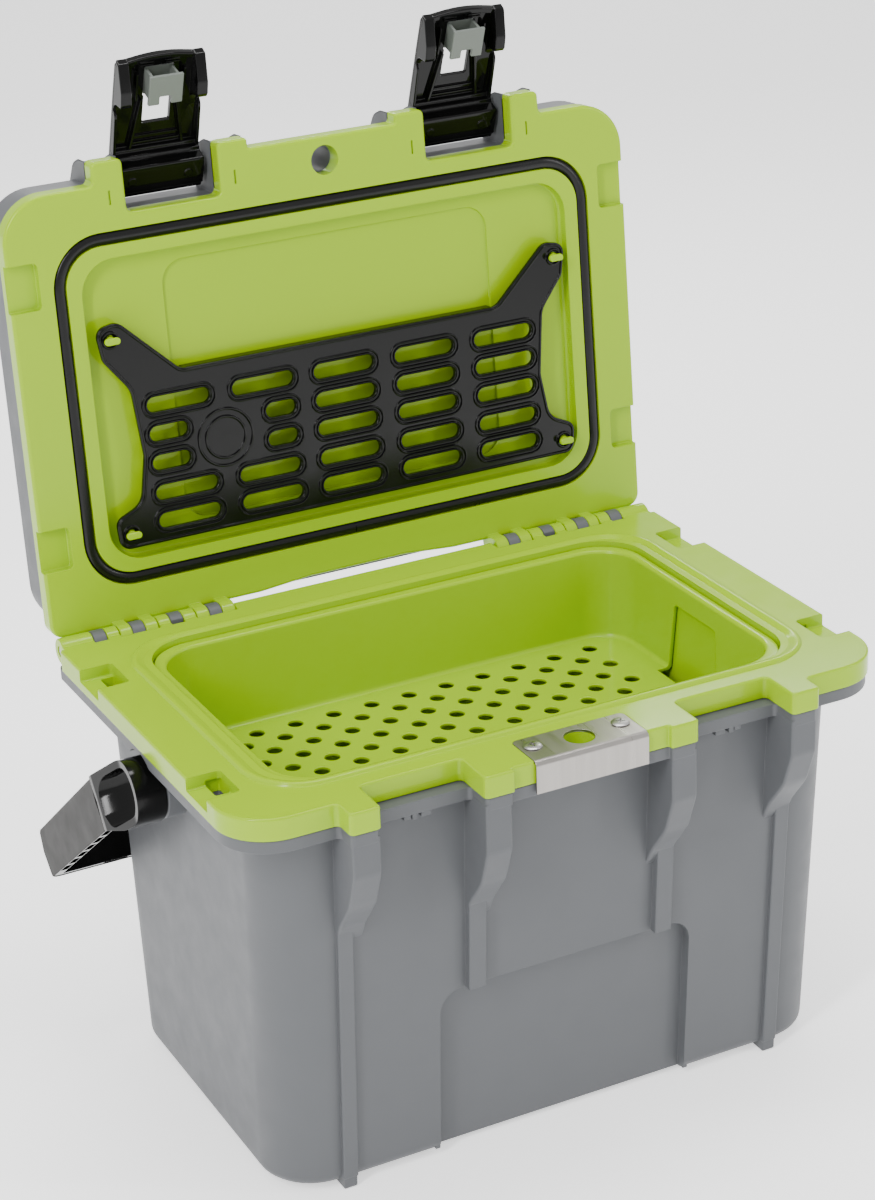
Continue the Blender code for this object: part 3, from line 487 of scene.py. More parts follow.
def moulded(name, colour, darker, rough, grain=900.0, relief=0.03, edge=0.7, cloud=7.0, coat=0.0,
             shine=0.4):
    """Moulded plastic: a faint cloudy tone, a fine grain and slightly uneven gloss."""
    made = Nodes(name)
    tone = made.noise(cloud, 3.0)
    made.link(made.blend(tone, colour, darker), made.shader.inputs["Base Color"])
    made.spread(made.noise(60.0, 4.0), rough[0], rough[1], made.shader.inputs["Roughness"])
    made.surface(made.noise(grain, 3.0), relief, 0.5, edge)
    set_inputs(made.shader, {"Specular IOR Level": shine, "Coat Weight": coat, "Coat Roughness": 0.12})
    return made.material


def brushed(name, colour, darker, stretch, edge=0.3):
    """Steel with fine streaks along one axis."""
    made = Nodes(name)
    streak = made.noise(220.0, 6.0, stretch, 0.7)
    made.link(made.blend(streak, colour, darker), made.shader.inputs["Base Color"])
    set_inputs(made.shader, {"Metallic": 1.0})
    made.spread(streak, 0.24, 0.42, made.shader.inputs["Roughness"])
    made.surface(streak, 0.02, 0.35, edge)
    return made.material


def grey(value):
    return (value, value, value)


GREEN = moulded("green_moulding", (0.300, 0.490, 0.0), (0.290, 0.475, 0.0), (0.16, 0.22), 1400.0, 0.012, 0.9,
                coat=0.15, shine=0.15)
GREY = moulded("grey_shell", (0.096, 0.100, 0.107), (0.089, 0.093, 0.099), (0.42, 0.52), 1500.0, 0.03, 0.8,
               shine=0.3)
BLACK = moulded("latch_black", grey(0.002), grey(0.003), (0.04, 0.09), 700.0, 0.006, 0.6, shine=0.2)
BUTTON = moulded("button_grey", (0.130, 0.145, 0.130), (0.120, 0.134, 0.120), (0.42, 0.5), 1500.0, 0.03, 0.4)
HANDLE = moulded("handle_grey", (0.030, 0.029, 0.028), (0.026, 0.025, 0.024), (0.50, 0.60), 1300.0, 0.03, 0.7,
                 shine=0.15)
HUB = moulded("handle_black", grey(0.002), grey(0.004), (0.10, 0.18), 1100.0, 0.012, 0.6, shine=0.2)
RUBBER = moulded("organiser_rubber", grey(0.002), grey(0.004), (0.10, 0.18), 800.0, 0.02, 0.5, shine=0.25)
SEAL = moulded("gasket_rubber", grey(0.003), grey(0.006), (0.18, 0.28), 900.0, 0.02, 0.6, shine=0.25)
FOAM = moulded("foam", (0.80, 0.72, 0.48), (0.74, 0.66, 0.42), (0.85, 0.95), 500.0, 0.2, 0.5)
STEEL = brushed("brushed_steel", (0.40, 0.38, 0.355), (0.32, 0.30, 0.28), (1.0, 0.04, 0.04))
SCREW = brushed("screw_steel", (0.52, 0.51, 0.49), (0.40, 0.39, 0.38), (0.3, 0.3, 1.0), 0.25)
PIN = brushed("steel_pin", (0.42, 0.42, 0.41), (0.34, 0.34, 0.33), (0.05, 1.0, 1.0))


# ---- Body ----
def tub_size(z):
    """Half width, front, back and corner radius of the tapering tub at a height."""
    share = z / TUB_HEAD_Z
    return [low + (high - low) * share for low, high in zip(TUB_FOOT, TUB_HEAD)]


def tub_ring(z, inset):
    half, front, back, radius = tub_size(z)
    return place(box_outline(half - inset, front + inset, back - inset, radius - inset), z, "Z")


def wall_front(z):
    return tub_size(z)[1]


def flange_half(inset, notch, block):
    """Right half of the flange's front, set in a little."""
    inner, outer = [(low + inset, high - inset) for low, high in (INNER_LUG, OUTER_LUG)]
    fronts = (block, LUG_FRONT + inset, notch, FLANGE_FRONT + inset)
    return lugged_half(inner, outer, FLANGE_HALF - inset, fronts, [1.0, 1.2] + [3.0] * 6 + [33.0])


def tub_hollow(gap, top):
    """The room inside the shell's wall."""
    inset = SHELL_WALL + gap
    return [tub_ring(z, inside) for z, inside in
            ((inset, inset + 5), (inset + 5, inset), (230.0, inset), (top, inset))]


def recess_back(gap):
    """The wall behind the front's sunken panel."""
    low, high = 1.0, RECESS_HIGH + SHELL_WALL + gap
    depth = RECESS_IN + SHELL_WALL + gap
    profile = [(wall_front(low) + 1, low), (wall_front(high) + 1, high),
               (wall_front(high) + depth, high), (wall_front(low) + depth, low)]
    half = RECESS_HALF + SHELL_WALL + gap
    return prism([Vector(p) for p in profile], -half, half, "X")


def buttress(side, low_x, high_x, drop):
    """Tapering rib head under a lug, with softened edges."""
    front = LUG_FRONT + 1.4
    start = FLANGE_TOP - drop
    profile = [(-108.0, LIP_LOW + 4, 0), (front, LIP_LOW + 4, 0), (front, start, 12.0),
               (front + 8.5, start - 23, 30.0), (front + 24, start - 43, 30.0),
               (wall_front(start - 58) + 0.5, start - 58, 14.0), (-108.0, start - 62, 0)]
    return slab(profile, *span(side, low_x, high_x), "X", 1.8, 1.8)


def narrow_rib(side, low_x, high_x, proud, low_z, high_z):
    """Rib that runs down the front wall and stays parallel to it."""
    profile = [(-98.0, high_z, 0), (wall_front(high_z) - proud, high_z, 0),
               (wall_front(low_z) - proud, low_z, 2.0), (-98.0, low_z, 0)]
    return slab(profile, *span(side, low_x, high_x), "X", 1.0, 1.0)


def body_knuckle(low, high, front, foot, crown, soft):
    """Half-round barrel on the hinge line with a web to the front and down."""
    rise = min(crown - HINGE_Z, BARREL)
    first = pi - atan2(rise, sqrt(BARREL ** 2 - rise ** 2))
    rings = []
    for level, inset in ((low, soft), (low + soft, 0.0), (high - soft, 0.0), (high, soft)):
        radius = BARREL - inset
        arc = [first + (-pi / 2 - first) * n / 24 for n in range(25)]
        outline = [Vector((front + inset, foot)), Vector((front + inset, crown - inset))]
        outline += [Vector((HINGE_Y + radius * cos(a), HINGE_Z + radius * sin(a))) for a in arc]
        outline += [Vector((HINGE_Y, foot - 0.01))]
        rings.append(place(outline, level, "X"))
    return rings


def pin_bores(y, z):
    """Room for both hinge pins, about the line through (y, z)."""
    return both_sides(lambda side: [prism(circle(y, z, PIN_BORE, 24), *span(side, *PIN_SPAN), "X")])


def tie_holes(low, high):
    return both_sides(lambda side: [
        prism(rounded(rectangle(*span(side, TIE_X, TIE_X + 9), *hole, 1.2)), low, high)
        for hole in TIE_HOLES])


def build_shell():
    """Grey outer tub with its lip, ribs, latch ledges, hinge bands and handle bosses."""
    soft = 7.0
    rise = [(soft * (1 - cos(a)), soft * (1 - sin(a))) for a in [pi / 2 * n / 5 for n in range(6)]]
    shell = Piece("body_shell_fine", [tub_ring(z, inset) for z, inset in rise] + [tub_ring(LIP_LOW + 2, 0.0)])
    lip = mirrored(flange_half(1.0, LEDGE_FRONT, BLOCK_FRONT + 0.7)
                   + [(FLANGE_HALF - 1.0, FLANGE_BACK - 0.5, 6.0)])
    shell.join(slab(lip, LIP_LOW, FLANGE_LOW - GAP, "Z", 1.0, 0.6, 3))
    shell.join(*both_sides(lambda side: [
        buttress(side, OUTER_LUG[0] + 0.5, OUTER_LUG[1] - 1.3, 42.0),
        buttress(side, INNER_LUG[0] + 1.3, INNER_LUG[1] - 0.7, 50.0)]))
    shell.join(*both_sides(lambda side: [
        narrow_rib(side, 143.0, 152.7, 3.4, 3.0, LIP_LOW - 60),
        narrow_rib(side, 58.0, 69.4, 5.5, 100.0, LIP_LOW - 60)]))
    foot = [(-100.0, 10.0, 0), (-117.4, 10.0, 0), (-116.8, -4.0, 2.0), (118.0, -4.0, 2.0), (119.0, 10.0, 0)]
    shell.join(*both_sides(lambda side: [slab(foot, *span(side, 143.6, 152.1), "X", 0.8, 0.8, 3)]))
    shell.join(*both_sides(latch_ledges))
    shell.join(*both_sides(lambda side: [
        body_knuckle(*span(side, *knuckle[1]), 131.5, LIP_LOW + 4, HINGE_Z, 0.4)
        for knuckle in BODY_KNUCKLES]))
    shell.join(*both_sides(lambda side: [drum((GRIP_Y, GRIP_Z), [
        (side * 186.0, HUB_RADIUS), (side * 204.6, HUB_RADIUS), (side * BOSS_END, HUB_RADIUS - 0.9)])]))
    shell.cut(tub_hollow(0.0, FLANGE_TOP + 5))
    shell.join(recess_back(0.0))
    dip = rounded([(-RECESS_HALF, -20.0, 0), (RECESS_HALF, -20.0, 0),
                   (RECESS_HALF, RECESS_HIGH, 15.0), (-RECESS_HALF, RECESS_HIGH, 15.0)])
    lean = (TUB_HEAD[1] - TUB_FOOT[1]) / TUB_HEAD_Z
    shell.cut([[(x, y + lean * z, z) for x, z in dip] for y in (-140.0, TUB_FOOT[1] + RECESS_IN)])
    shell.cut(*tie_holes(LIP_LOW - 8, FLANGE_TOP))
    shell.cut(prism(circle(0.0, *LOCK_HOLE), LIP_LOW - 20, FLANGE_TOP))
    shell.cut(*pin_bores(HINGE_Y, HINGE_Z))
    shell.cut(*both_sides(lambda side: [
        prism(circle(GRIP_Y, GRIP_Z, AXLE_BORE, 24), *span(side, 197.5, 205.4), "X"),
        prism(circle(GRIP_Y, GRIP_Z, HUB_RADIUS + HUB_ROOM, 48), *span(side, BOSS_END, HUB_INNER + 2), "X")]))
    shell.done(GREY, "body", "grey_shell", "body_shell")


def latch_ledges(side):
    """Stepped catch tabs with two small hooks under each latch notch."""
    front = LEDGE_FRONT + 0.8
    tabs = []
    for low, high, face, drop in ((74.0, 92.6, front + 1.2, 23.5), (94.0, 101.0, front, 25.5),
                                  (103.2, 106.8, front - 0.4, 25.8), (107.2, 112.0, front, 25.2),
                                  (112.4, 131.5, front + 1.2, 23.5)):
        corners = rectangle(*span(side, low, high), face, -120.0, 0.6)
        tabs.append(slab(corners, FLANGE_TOP - drop, LIP_LOW + 3, "Z", 0.6, 0.0, 3))
    return tabs


def liner_ring(z, grow):
    """Level outline of the tub's inside, which narrows to its floor."""
    share = (FLANGE_TOP - 6.5 - z) / (FLANGE_TOP - LINER_FLOOR)
    half_x, half_y, radius = OPENING
    return place(box_outline(half_x + grow - 7 * share, -half_y - grow + 7 * share,
                             half_y + grow - 7 * share, radius + grow), z, "Z")


def build_liner():
    """Green tub and flange, with the raised bead that the lid's seal meets."""
    outline = mirrored(flange_half(0.0, NOTCH_BACK, BLOCK_FRONT)
                       + [(FLANGE_HALF, 131.2, 2.0), (94.4, 131.2, 0.5), (94.4, FLANGE_BACK, 1.5)])
    liner = Piece("body_liner_fine", slab(outline, FLANGE_LOW, FLANGE_TOP, "Z", 0.5, 1.4))
    liner.join(*both_sides(lambda side: [
        body_knuckle(*span(side, *part), 128.0, FLANGE_LOW + 0.4, FLANGE_TOP, 0.5)
        for knuckle in BODY_KNUCKLES for part in (knuckle[0], knuckle[2])]))
    liner.join([liner_ring(LINER_FLOOR - 2.5, 2.5), liner_ring(FLANGE_LOW + 3, 2.5)])
    section = ((3.6, -2.0), (3.2, 0.0), (2.3, 1.3), (1.2, 1.85), (0.0, 1.9), (-1.2, 1.7), (-2.6, 0.9),
               (-4.6, 0.1), (-5.4, -2.0))
    bead = [grown_ring(BEAD, grow, FLANGE_TOP + z) for grow, z in section]
    liner.join(bead + bead[:1])
    half_x, half_y, radius = REBATE
    liner.cut(slab(box_corners(half_x, -half_y, half_y, radius), FLANGE_TOP - 6.5, FLANGE_TOP + 6, "Z", 1.0))
    liner.cut([liner_ring(LINER_FLOOR, -4.0), liner_ring(LINER_FLOOR + 1.2, -1.2),
               liner_ring(LINER_FLOOR + 4, 0.0), liner_ring(FLANGE_TOP - 3, 0.0)])
    liner.cut(*both_sides(lambda side: [
        slab(rectangle(*span(side, TIE_X, FLANGE_HALF + 6), *part, 3.0),
             FLANGE_TOP - 8, FLANGE_TOP + 6, "Z", 1.2)
        for part in TIE_SPANS]))
    liner.cut(*tie_holes(FLANGE_LOW - 6, FLANGE_TOP - 5))
    plate_room = rectangle(-PLATE_HALF - GAP, PLATE_HALF + GAP, -175.0, -125.2, 4.0)
    liner.cut(slab(plate_room, FLANGE_TOP - 1.5, FLANGE_TOP + 6))
    liner.cut(prism(circle(0.0, *LOCK_HOLE), FLANGE_LOW - 6, FLANGE_TOP + 6))
    liner.cut(*both_sides(lambda side: [
        prism(circle(side * SCREW_X, SCREW_Y, 2.6, 16), FLANGE_LOW + 2, FLANGE_TOP + 6)]))
    liner.cut(*pin_bores(HINGE_Y, HINGE_Z))
    liner.done(GREEN, "body", "green_moulding", "body_liner")


def build_tray():
    """Drop-in basket with a rolled rim, pierced floor and a window in its right wall."""
    top, floor = TRAY_LIP_TOP, TRAY_BASE
    outer = [grown_ring(size, grow, z) for size, grow, z in
             ((TRAY_FLOOR, TRAY_WALL - 2, floor - TRAY_WALL), (TRAY_FLOOR, TRAY_WALL, floor),
              (TRAY_TOP, TRAY_WALL, top - 3), (TRAY_LIP, 0, top - 3))]
    rim = [grown_ring(TRAY_LIP, -1.5 * (1 - sin(a)), top - 1.5 * (1 - cos(a))) for a in (pi / 2, pi / 4, 0.0)]
    inner = [grown_ring(TRAY_TOP, 2.4 * (1 - sin(a)), top - 2.4 * (1 - cos(a)))
             for a in (0.0, pi / 6, pi / 3, pi / 2)]
    cove = [grown_ring(TRAY_FLOOR, -3.0 * (1 - cos(a)), floor + 3.0 * (1 - sin(a)))
            for a in (0.0, pi / 8, pi / 4, 3 * pi / 8, pi / 2)]
    tray = Piece("tray_fine", outer + rim + inner + cove)
    pitch_x, pitch_y = HOLE_PITCH
    holes = []
    for row in range(-6, 7):
        for column in range(-5, 6 - row % 2):
            x = (column + 0.5 * (row % 2)) * pitch_x
            holes.append(drum((x, row * pitch_y), [
                (floor - 8, 4.9), (floor - 0.5, 4.9), (floor + 0.02, 5.5), (floor + 3, 8.5)], "Z", 20))
    tray.cut(*holes)
    head = FLANGE_TOP - 18
    window = [(-29.5, floor - 6, 0), (29.5, floor - 6, 0), (24.0, head, 2.5), (-24.0, head, 2.5)]
    tray.cut(prism(rounded(window), 155.0, 175.0, "X"))
    tray.done(GREEN, "tray", "green_moulding", "tray")


def build_plate():
    """Bent opener plate and its cross-head screws."""
    top, low, thick, bend = FLANGE_TOP + 0.3, FLANGE_TOP - 20.0, 1.5, 3.4
    front, back = -156.0, -125.5
    side_view = [(back, top, 0), (front, top, bend), (front, low, 0), (front + thick, low, 0),
                 (front + thick, top - thick, bend - thick), (back, top - thick, 0)]
    half = PLATE_HALF
    plate = Piece("opener_plate_fine", slab(side_view, -half, half, "X", 0.4, 0.4, 3))
    plan = [(-half - 0.5, front - 2, 0), (half + 0.5, front - 2, 0), (half, back, 4.0), (-half, back, 4.0)]
    plate.keep(prism(rounded(plan), low - 5, top + 5))
    plate.cut(prism(circle(0.0, LOCK_HOLE[0], LOCK_HOLE[1] - 0.2, 48), low, top + 5))
    plate.cut(*both_sides(lambda side: [prism(circle(side * SCREW_X, SCREW_Y, 2.8, 16), low, top + 5)]))
    plate.done(STEEL, "body", "brushed_steel", "opener_plate")
    for word, side in SIDES:
        build_screw(word, side, top)


def build_screw(word, side, seat):
    """Domed screw with a cross recess, on the plate's top."""
    middle = (side * SCREW_X, SCREW_Y)
    dome = [(FLANGE_TOP - 9.0, 2.2), (seat + 0.1, 2.2), (seat + 0.1, 5.5), (seat + 0.5, 5.7),
            (seat + 0.9, 5.3), (seat + 1.25, 4.3), (seat + 1.5, 2.4)]
    screw = Piece("plate_screw_" + word + "_fine", drum(middle, dome, "Z", 32))
    turn = Matrix.Rotation(radians(25 + 30 * side), 2)
    for half_u, half_v in ((2.9, 0.5), (0.5, 2.9)):
        outline = [turn @ Vector((u, v)) + Vector(middle)
                   for u, v, _ in rectangle(-half_u, half_u, -half_v, half_v)]
        screw.cut(prism(outline, seat + 0.4, seat + 4))
    screw.done(SCREW, "body", "screw_steel", "plate_screw_" + word)


# ---- Lid ----
def lid_corners():
    """Outline of the lid in its own axes, with lugs and latch notches at the front."""
    fronts = (-LID_BLOCK, -LID_LUG, -LID_NOTCH, -LID_FRONT)
    front = lugged_half(LID_INNER_LUG, LID_OUTER_LUG, LID_HALF, fronts, [1.5, 2.0] + [3.5] * 5 + [3.0, 30.0])
    return mirrored(front + [(LID_HALF, -5.0, 9.0), (70.0, -5.0, 30.0), (35.0, -7.9, 60.0)])


def lid_box(size, grow=0.0):
    half, near, far, radius = size
    return box_corners(half + grow, -far - grow, -near + grow, radius + grow)


def lid_barrel(front, back, top, inset):
    """Side view of a lid knuckle: a barrel whose web rises to the lid."""
    radius = BARREL - inset
    first = pi - acos(min(front / BARREL, 1.0))
    last = 2 * pi + acos(back / BARREL)
    arc = [first + (last - first) * n / 30 for n in range(31)]
    barrel = [Vector((radius * cos(a), radius * sin(a))) for a in arc]
    return barrel + [Vector((back - inset, top)), Vector((-front + inset, top))]


def lid_knuckle(side, part, front, back, top):
    low, high = span(side, *part)
    return [place(lid_barrel(front, back, top, inset), level, "X")
            for level, inset in ((low, 0.5), (low + 0.5, 0.0), (high - 0.5, 0.0), (high, 0.5))]


def build_lid_liner():
    """Green inside of the lid: rim, gasket groove, sunken panel, hooks and strap recesses."""
    liner = Piece("lid_liner_fine", slab(lid_corners(), MATE, LINER_TOP, "Z", 2.2, 0.3), axes=LID_AXES)
    liner.join(*both_sides(lambda side: [
        lid_knuckle(side, part, BARREL, 0.0, 14.0)
        for knuckle in LID_KNUCKLES for part in (knuckle[0], knuckle[2])]))
    floor = MATE + RECESS_DEEP
    liner.cut(slab(lid_box(RECESS), MATE - 5, floor, "Z", 0.0, 2.0))
    liner.cut(slab(lid_box(PANEL), MATE - 5, MATE + 8.5, "Z", 0.0, 0.6))
    outer, inner = GASKET_ROOM, -GASKET_WIDE - GASKET_ROOM
    groove = [place(rounded(lid_box(GASKET_OUT, grow)), MATE + z, "Z")
              for grow, z in ((outer, -5), (outer, 4.3), (inner, 4.3), (inner, -5))]
    liner.cut(groove + groove[:1])
    liner.cut(*both_sides(lambda side: [
        slab(rectangle(*span(side, TIE_X, FLANGE_HALF + 6), -far, -near, 3.0),
             MATE - 5, MATE + 5.5, "Z", 0.0, 0.8)
        for near, far in LID_TIES]))
    liner.cut(prism(circle(0.0, -LID_LOCK[0], LID_LOCK[1]), MATE - 5, LINER_TOP + 5))
    liner.cut(*both_sides(lambda side: [
        prism(rounded(rectangle(side * x - 0.6, side * x + 0.6, -279.0, -270.5)), MATE - 5, MATE + 1.2)
        for x in (61.0, 143.5)]))
    liner.cut(*pin_bores(0.0, 0.0))
    liner.join(*both_sides(lambda side: [
        drum((side * x, -s), [(-1.0, 2.5), (floor - 1.5, 2.7), (floor + 1, 4.5)], "Z", 20)
        for x, s in HOOKS]))
    liner.join(*both_sides(lambda side: [
        slab(rectangle(side * x - 5.0, side * x + 5.0, -s - 2.2, -s + 2.2, 2.0), -2.4, 0.2, "Z", 0.7, 0.3, 3)
        for x, s in HOOKS]))
    liner.done(GREEN, "lid", "green_moulding", "lid_liner")


def build_lid_shell():
    """Grey outer cover of the lid with crowned edges and the latch lugs."""
    low = LINER_TOP + GAP

    def ring(inset, z):
        corners = box_corners(LID_HALF - 0.5, -LID_FRONT + 0.5, -3.0, 30.0)
        return place(rounded(offset(corners, inset), [12] * 4), z, "Z")

    soft = 10.0
    edge = [(soft * (1 - sin(a)), LID_TOP - soft * (1 - cos(a))) for a in [pi / 2 * n / 7 for n in range(8)]]
    shell = Piece("lid_shell_fine", [ring(0.0, low)] + [ring(i, z) for i, z in edge[::-1]], axes=LID_AXES)

    def lug(low_x, high_x, reach):
        profile = [(-240.0, low, 0), (-240.0, 47.0, 0), (-reach + 18, 47.0, 12.0), (-reach + 5, 38.0, 12.0),
                   (-reach + 1.5, 28.0, 8.0), (-reach + 1.5, low, 0)]
        return slab(profile[::-1], low_x, high_x, "X", 1.8, 1.8)

    shell.cut(*both_sides(lambda side: [
        slab(rectangle(*span(side, LID_INNER_LUG[1] - 4, LID_OUTER_LUG[0] + 4), -310.0, -LID_NOTCH, 4.0),
             low - 5, LID_TOP + 5)]))
    shell.join(*both_sides(lambda side: [
        lug(*span(side, *part), LID_LUG - 0.5) for part in (LID_INNER_LUG, LID_OUTER_LUG)]))
    shell.join(lug(-LID_INNER_LUG[0] - 1, LID_INNER_LUG[0] + 1, LID_BLOCK - 0.5))
    shell.join(*both_sides(lambda side: [
        lid_knuckle(side, knuckle[1], 4.7, 3.0, 24.0) for knuckle in LID_KNUCKLES]))
    hollow = [place(rounded(offset(box_corners(LID_HALF, -LID_NOTCH, -3.0, 28.0), inset), [12] * 4), z, "Z")
              for inset, z in ((4.0, low - 5), (4.0, 36.0), (10.0, LID_TOP - SHELL_WALL))]
    shell.cut(hollow)
    shell.cut(prism(circle(0.0, -LID_LOCK[0], LID_LOCK[1]), low - 5, LID_TOP + 5))
    shell.cut(*both_sides(lambda side: [
        prism(circle(-LATCH_S, LATCH_H, LATCH_BORE, 24), *span(side, 65.5, 138.5), "X")]))
    shell.cut(*pin_bores(0.0, 0.0))
    shell.done(GREY, "lid", "grey_shell", "lid_shell")


def build_gasket():
    """Tubular seal in the lid's groove, with its butt joint at the back middle."""
    near = GASKET_OUT[1]
    wide = GASKET_WIDE / 2
    section = []
    for n in range(16):
        a = 2 * pi * n / 16
        crown = 2.2 if sin(a) < 0 else 2.0
        section.append((wide * cos(a), MATE + 2.0 + crown * sin(a)))
    rings = [place(rounded(lid_box(GASKET_OUT, -wide + grow)), z, "Z") for grow, z in section]
    seal = Piece("lid_gasket_fine", rings + rings[:1], axes=LID_AXES)
    seal.cut(prism(rounded(rectangle(-0.35, 0.35, -near - GASKET_WIDE - 2, -near + 2)), MATE - 5, MATE + 1.0))
    seal.done(SEAL, "lid", "gasket_rubber", "lid_gasket")


def slot_outline(x, s, length, width, steps=8):
    """A slot with round ends, about (x, s)."""
    radius = width / 2
    reach = length / 2 - radius
    ends = []
    for side, start in ((1, -pi / 2), (-1, pi / 2)):
        ends += [Vector((x + side * reach + radius * cos(start + pi * n / steps),
                         -s + radius * sin(start + pi * n / steps))) for n in range(steps + 1)]
    return ends


def slot_places():
    """Middle and length of each slot; two rows stop short of the plain disc on either side."""
    length = SLOT_SIZE[0]
    for column, x in enumerate(SLOT_COLUMNS):
        for row, s in enumerate(SLOT_ROWS):
            if column == 0 and row in (1, 2):
                yield x - 8.3, s, length - 16.5
            elif column == 1 and row in (1, 2):
                yield x + 10.7, s, length - 21.5
            else:
                yield x, s, length


def welt(outlines, proud=NET_FACE - 1.3):
    """A raised bead on the web that follows four nested outlines once round."""
    root = NET_FACE + 0.5
    rings = [place(outline, z, "Z") for outline, z in zip(outlines, (root, proud, proud, root))]
    return rings + rings[:1]


def build_organiser():
    """Rubber web with rows of slots, each with a raised welt, a plain disc and a folded top edge."""
    half = [
        (111.0, -163.0, 10.0), (149.0, -199.5, 9.0), (164.0, -196.5, 7.0),
        (161.0, -176.0, 9.0), (145.0, -155.0, 16.0), (141.0, -112.0, 16.0), (146.0, -82.0, 12.0),
        (164.0, -74.0, 7.0), (162.5, -54.5, 7.0), (140.0, -54.5, 3.0),
    ]
    corners = counter_clockwise([(-x, y, r) for x, y, r in half] + [(x, y, r) for x, y, r in reversed(half)])
    low, high = NET_FACE, NET_FACE + NET_THICK
    web = Piece("organiser_fine", slab(corners, low, high, "Z", 0.6, 0.3, 3), axes=LID_AXES)
    wide = SLOT_SIZE[1]
    web.cut(*[prism(slot_outline(x, s, length, wide), low - 5, high + 5) for x, s, length in slot_places()])
    web.cut(*both_sides(lambda side: [
        prism(circle(side * x, -s, HOOK_HOLE, 20), low - 5, high + 5) for x, s in HOOKS]))
    welts = [welt([slot_outline(x, s, length + 2 * (near + g), wide + 2 * (near + g))
                   for g in (0.0, 0.5, 1.0, 1.5)])
             for x, s, length in slot_places() for near in (0.2, 2.5)]
    rounds = [(-86.0, -114.0, 17.5, 48), (-86.0, -114.0, 12.5, 48)]
    rounds += [(side * x, -s, 4.0, 28) for x, s in HOOKS for side in (-1, 1)]
    welts += [welt([circle(x, y, radius + g, sides) for g in (0.0, 0.5, 1.3, 1.8)])
              for x, y, radius, sides in rounds]
    counts = [corner_steps(radius) for _, _, radius in corners]
    welts.append(welt([rounded(offset(corners, g), counts) for g in (0.9, 1.3, 2.0, 2.4)], low - 1.0))
    web.add(*welts)
    fold = rectangle(-109.0, 109.0, -163.0, -160.6, 0.9)
    web.add(slab(fold, low + 0.5, MATE + 5.5, "Z", 0.3, 0.5, 3))
    web.done(RUBBER, "lid", "organiser_rubber", "organiser")


# ---- Latches ----
def lever_view(points):
    """Side view of a latch, (along, outward, radius), in the lever's own (y, z)."""
    return counter_clockwise([(-out, -along, radius) for along, out, radius in points])


def lever_bar(middle, first, last, wide, top):
    """A rib on the lever's plate between two (across, along) points."""
    start, end = Vector(first), Vector(last)
    across = (end - start).normalized() * wide / 2
    turn = Vector((-across.y, across.x))
    points = [start - across - turn, end + across - turn, end + across + turn, start - across + turn]
    return prism([Vector((middle + point.x, -point.y)) for point in points], -6.2, top, "Y")


def build_lever(word, side):
    """Over-centre lever with an arched crown, side horns and ribs."""
    middle = side * LATCH_X
    low, high = middle - LEVER_HALF, middle + LEVER_HALF
    plate = lever_view([
        (-9.4, 0.0, 4.0), (-6.0, 8.5, 6.0), (60.0, 8.5, 20.0), (78.0, 8.2, 8.0), (82.0, 6.0, 1.5),
        (81.0, 3.6, 1.0), (74.0, 5.6, 4.0), (21.5, 5.6, 0.5), (20.5, 3.4, 0.8), (18.6, 3.2, 0.6),
        (17.8, -0.3, 0.8), (15.8, -0.6, 1.0), (15.2, -8.8, 1.5), (-2.6, -9.6, 2.0), (-3.6, -7.8, 0.6),
        (-6.6, -7.0, 1.2)])
    lever = Piece("latch_lever_" + word + "_fine", slab(plate, low, high, "X", 0.7, 0.7, 3), axes=LATCH_AXES)
    crown = [(low, -76.0, 0), (low, -82.0, 3.0), (middle, -86.9, 90.0), (high, -82.0, 3.0), (high, -76.0, 0)]
    inside = [(low + 3.2, -60.0, 0), (low + 3.2, -79.0, 2.0), (middle, -83.9, 90.0), (high - 3.2, -79.0, 2.0),
              (high - 3.2, -60.0, 0)]
    lever.join(slab(counter_clockwise(crown), -8.4, -3.4, "Y", 0.9, 0.9, 3))
    lever.cut(prism(rounded(counter_clockwise(inside)), -5.6, 12.0, "Y"))
    horn = lever_view([(46.0, 6.5, 0), (55.0, 4.0, 4.0), (56.8, -5.2, 0.8), (59.4, -6.4, 0.8),
                       (67.0, -5.4, 6.0), (83.0, 2.0, 2.0), (84.0, 6.5, 0)])
    lever.join(*[slab(horn, x, x + 7.0, "X", 0.8, 0.8, 3) for x in (low + 0.1, high - 7.1)])
    walls = lever_view([(14.0, 6.5, 0), (17.0, 1.0, 2.0), (48.0, 2.6, 6.0), (50.0, 6.5, 0)])
    lever.join(*[slab(walls, x, x + 1.8, "X", 0.4, 0.4, 2) for x in (low + 0.1, high - 1.9)])
    ribs = [((-17.0, 22.6), (-11.6, 55.0), 1.6, -2.0), ((17.0, 22.6), (11.6, 55.0), 1.6, -2.0),
            ((-15.6, 24.6), (15.6, 24.6), 1.2, -3.8), ((-14.0, 29.0), (14.0, 29.0), 1.0, -4.2)]
    ribs += [((across, along), (across + 8.0, along), wide, -3.0)
             for across in (-13.0, 3.6) for along, wide in ((79.4, 1.0), (81.2, 0.9))]
    ribs += [((across, 57.0), (across, 74.0), 1.2, -1.4) for across in (15.4, -15.4)]
    lever.join(*[lever_bar(middle, *rib) for rib in ribs])
    lever.cut(prism(rounded(rectangle(middle - 9.7, middle + 9.7, -77.0, -56.5, 0.8)), -20.0, 20.0, "Y"))
    lever.cut(prism(rounded(rectangle(middle - 9.0, middle + 9.0, -58.0, -37.0, 0.8)), -20.0, 20.0, "Y"))
    lever.cut(prism(circle(0.0, 0.0, 3.3, 24), low - 5, high + 5, "X"))
    for across, along in ((-19.0, 5.6), (18.0, 6.0)):
        lever.join(drum((middle + across, -along), [(8.0, 2.8), (9.5, 2.8), (9.7, 2.5)], "Y", 24))
    lever.done(BLACK, "latch_" + word, "latch_black", "latch_lever_" + word)


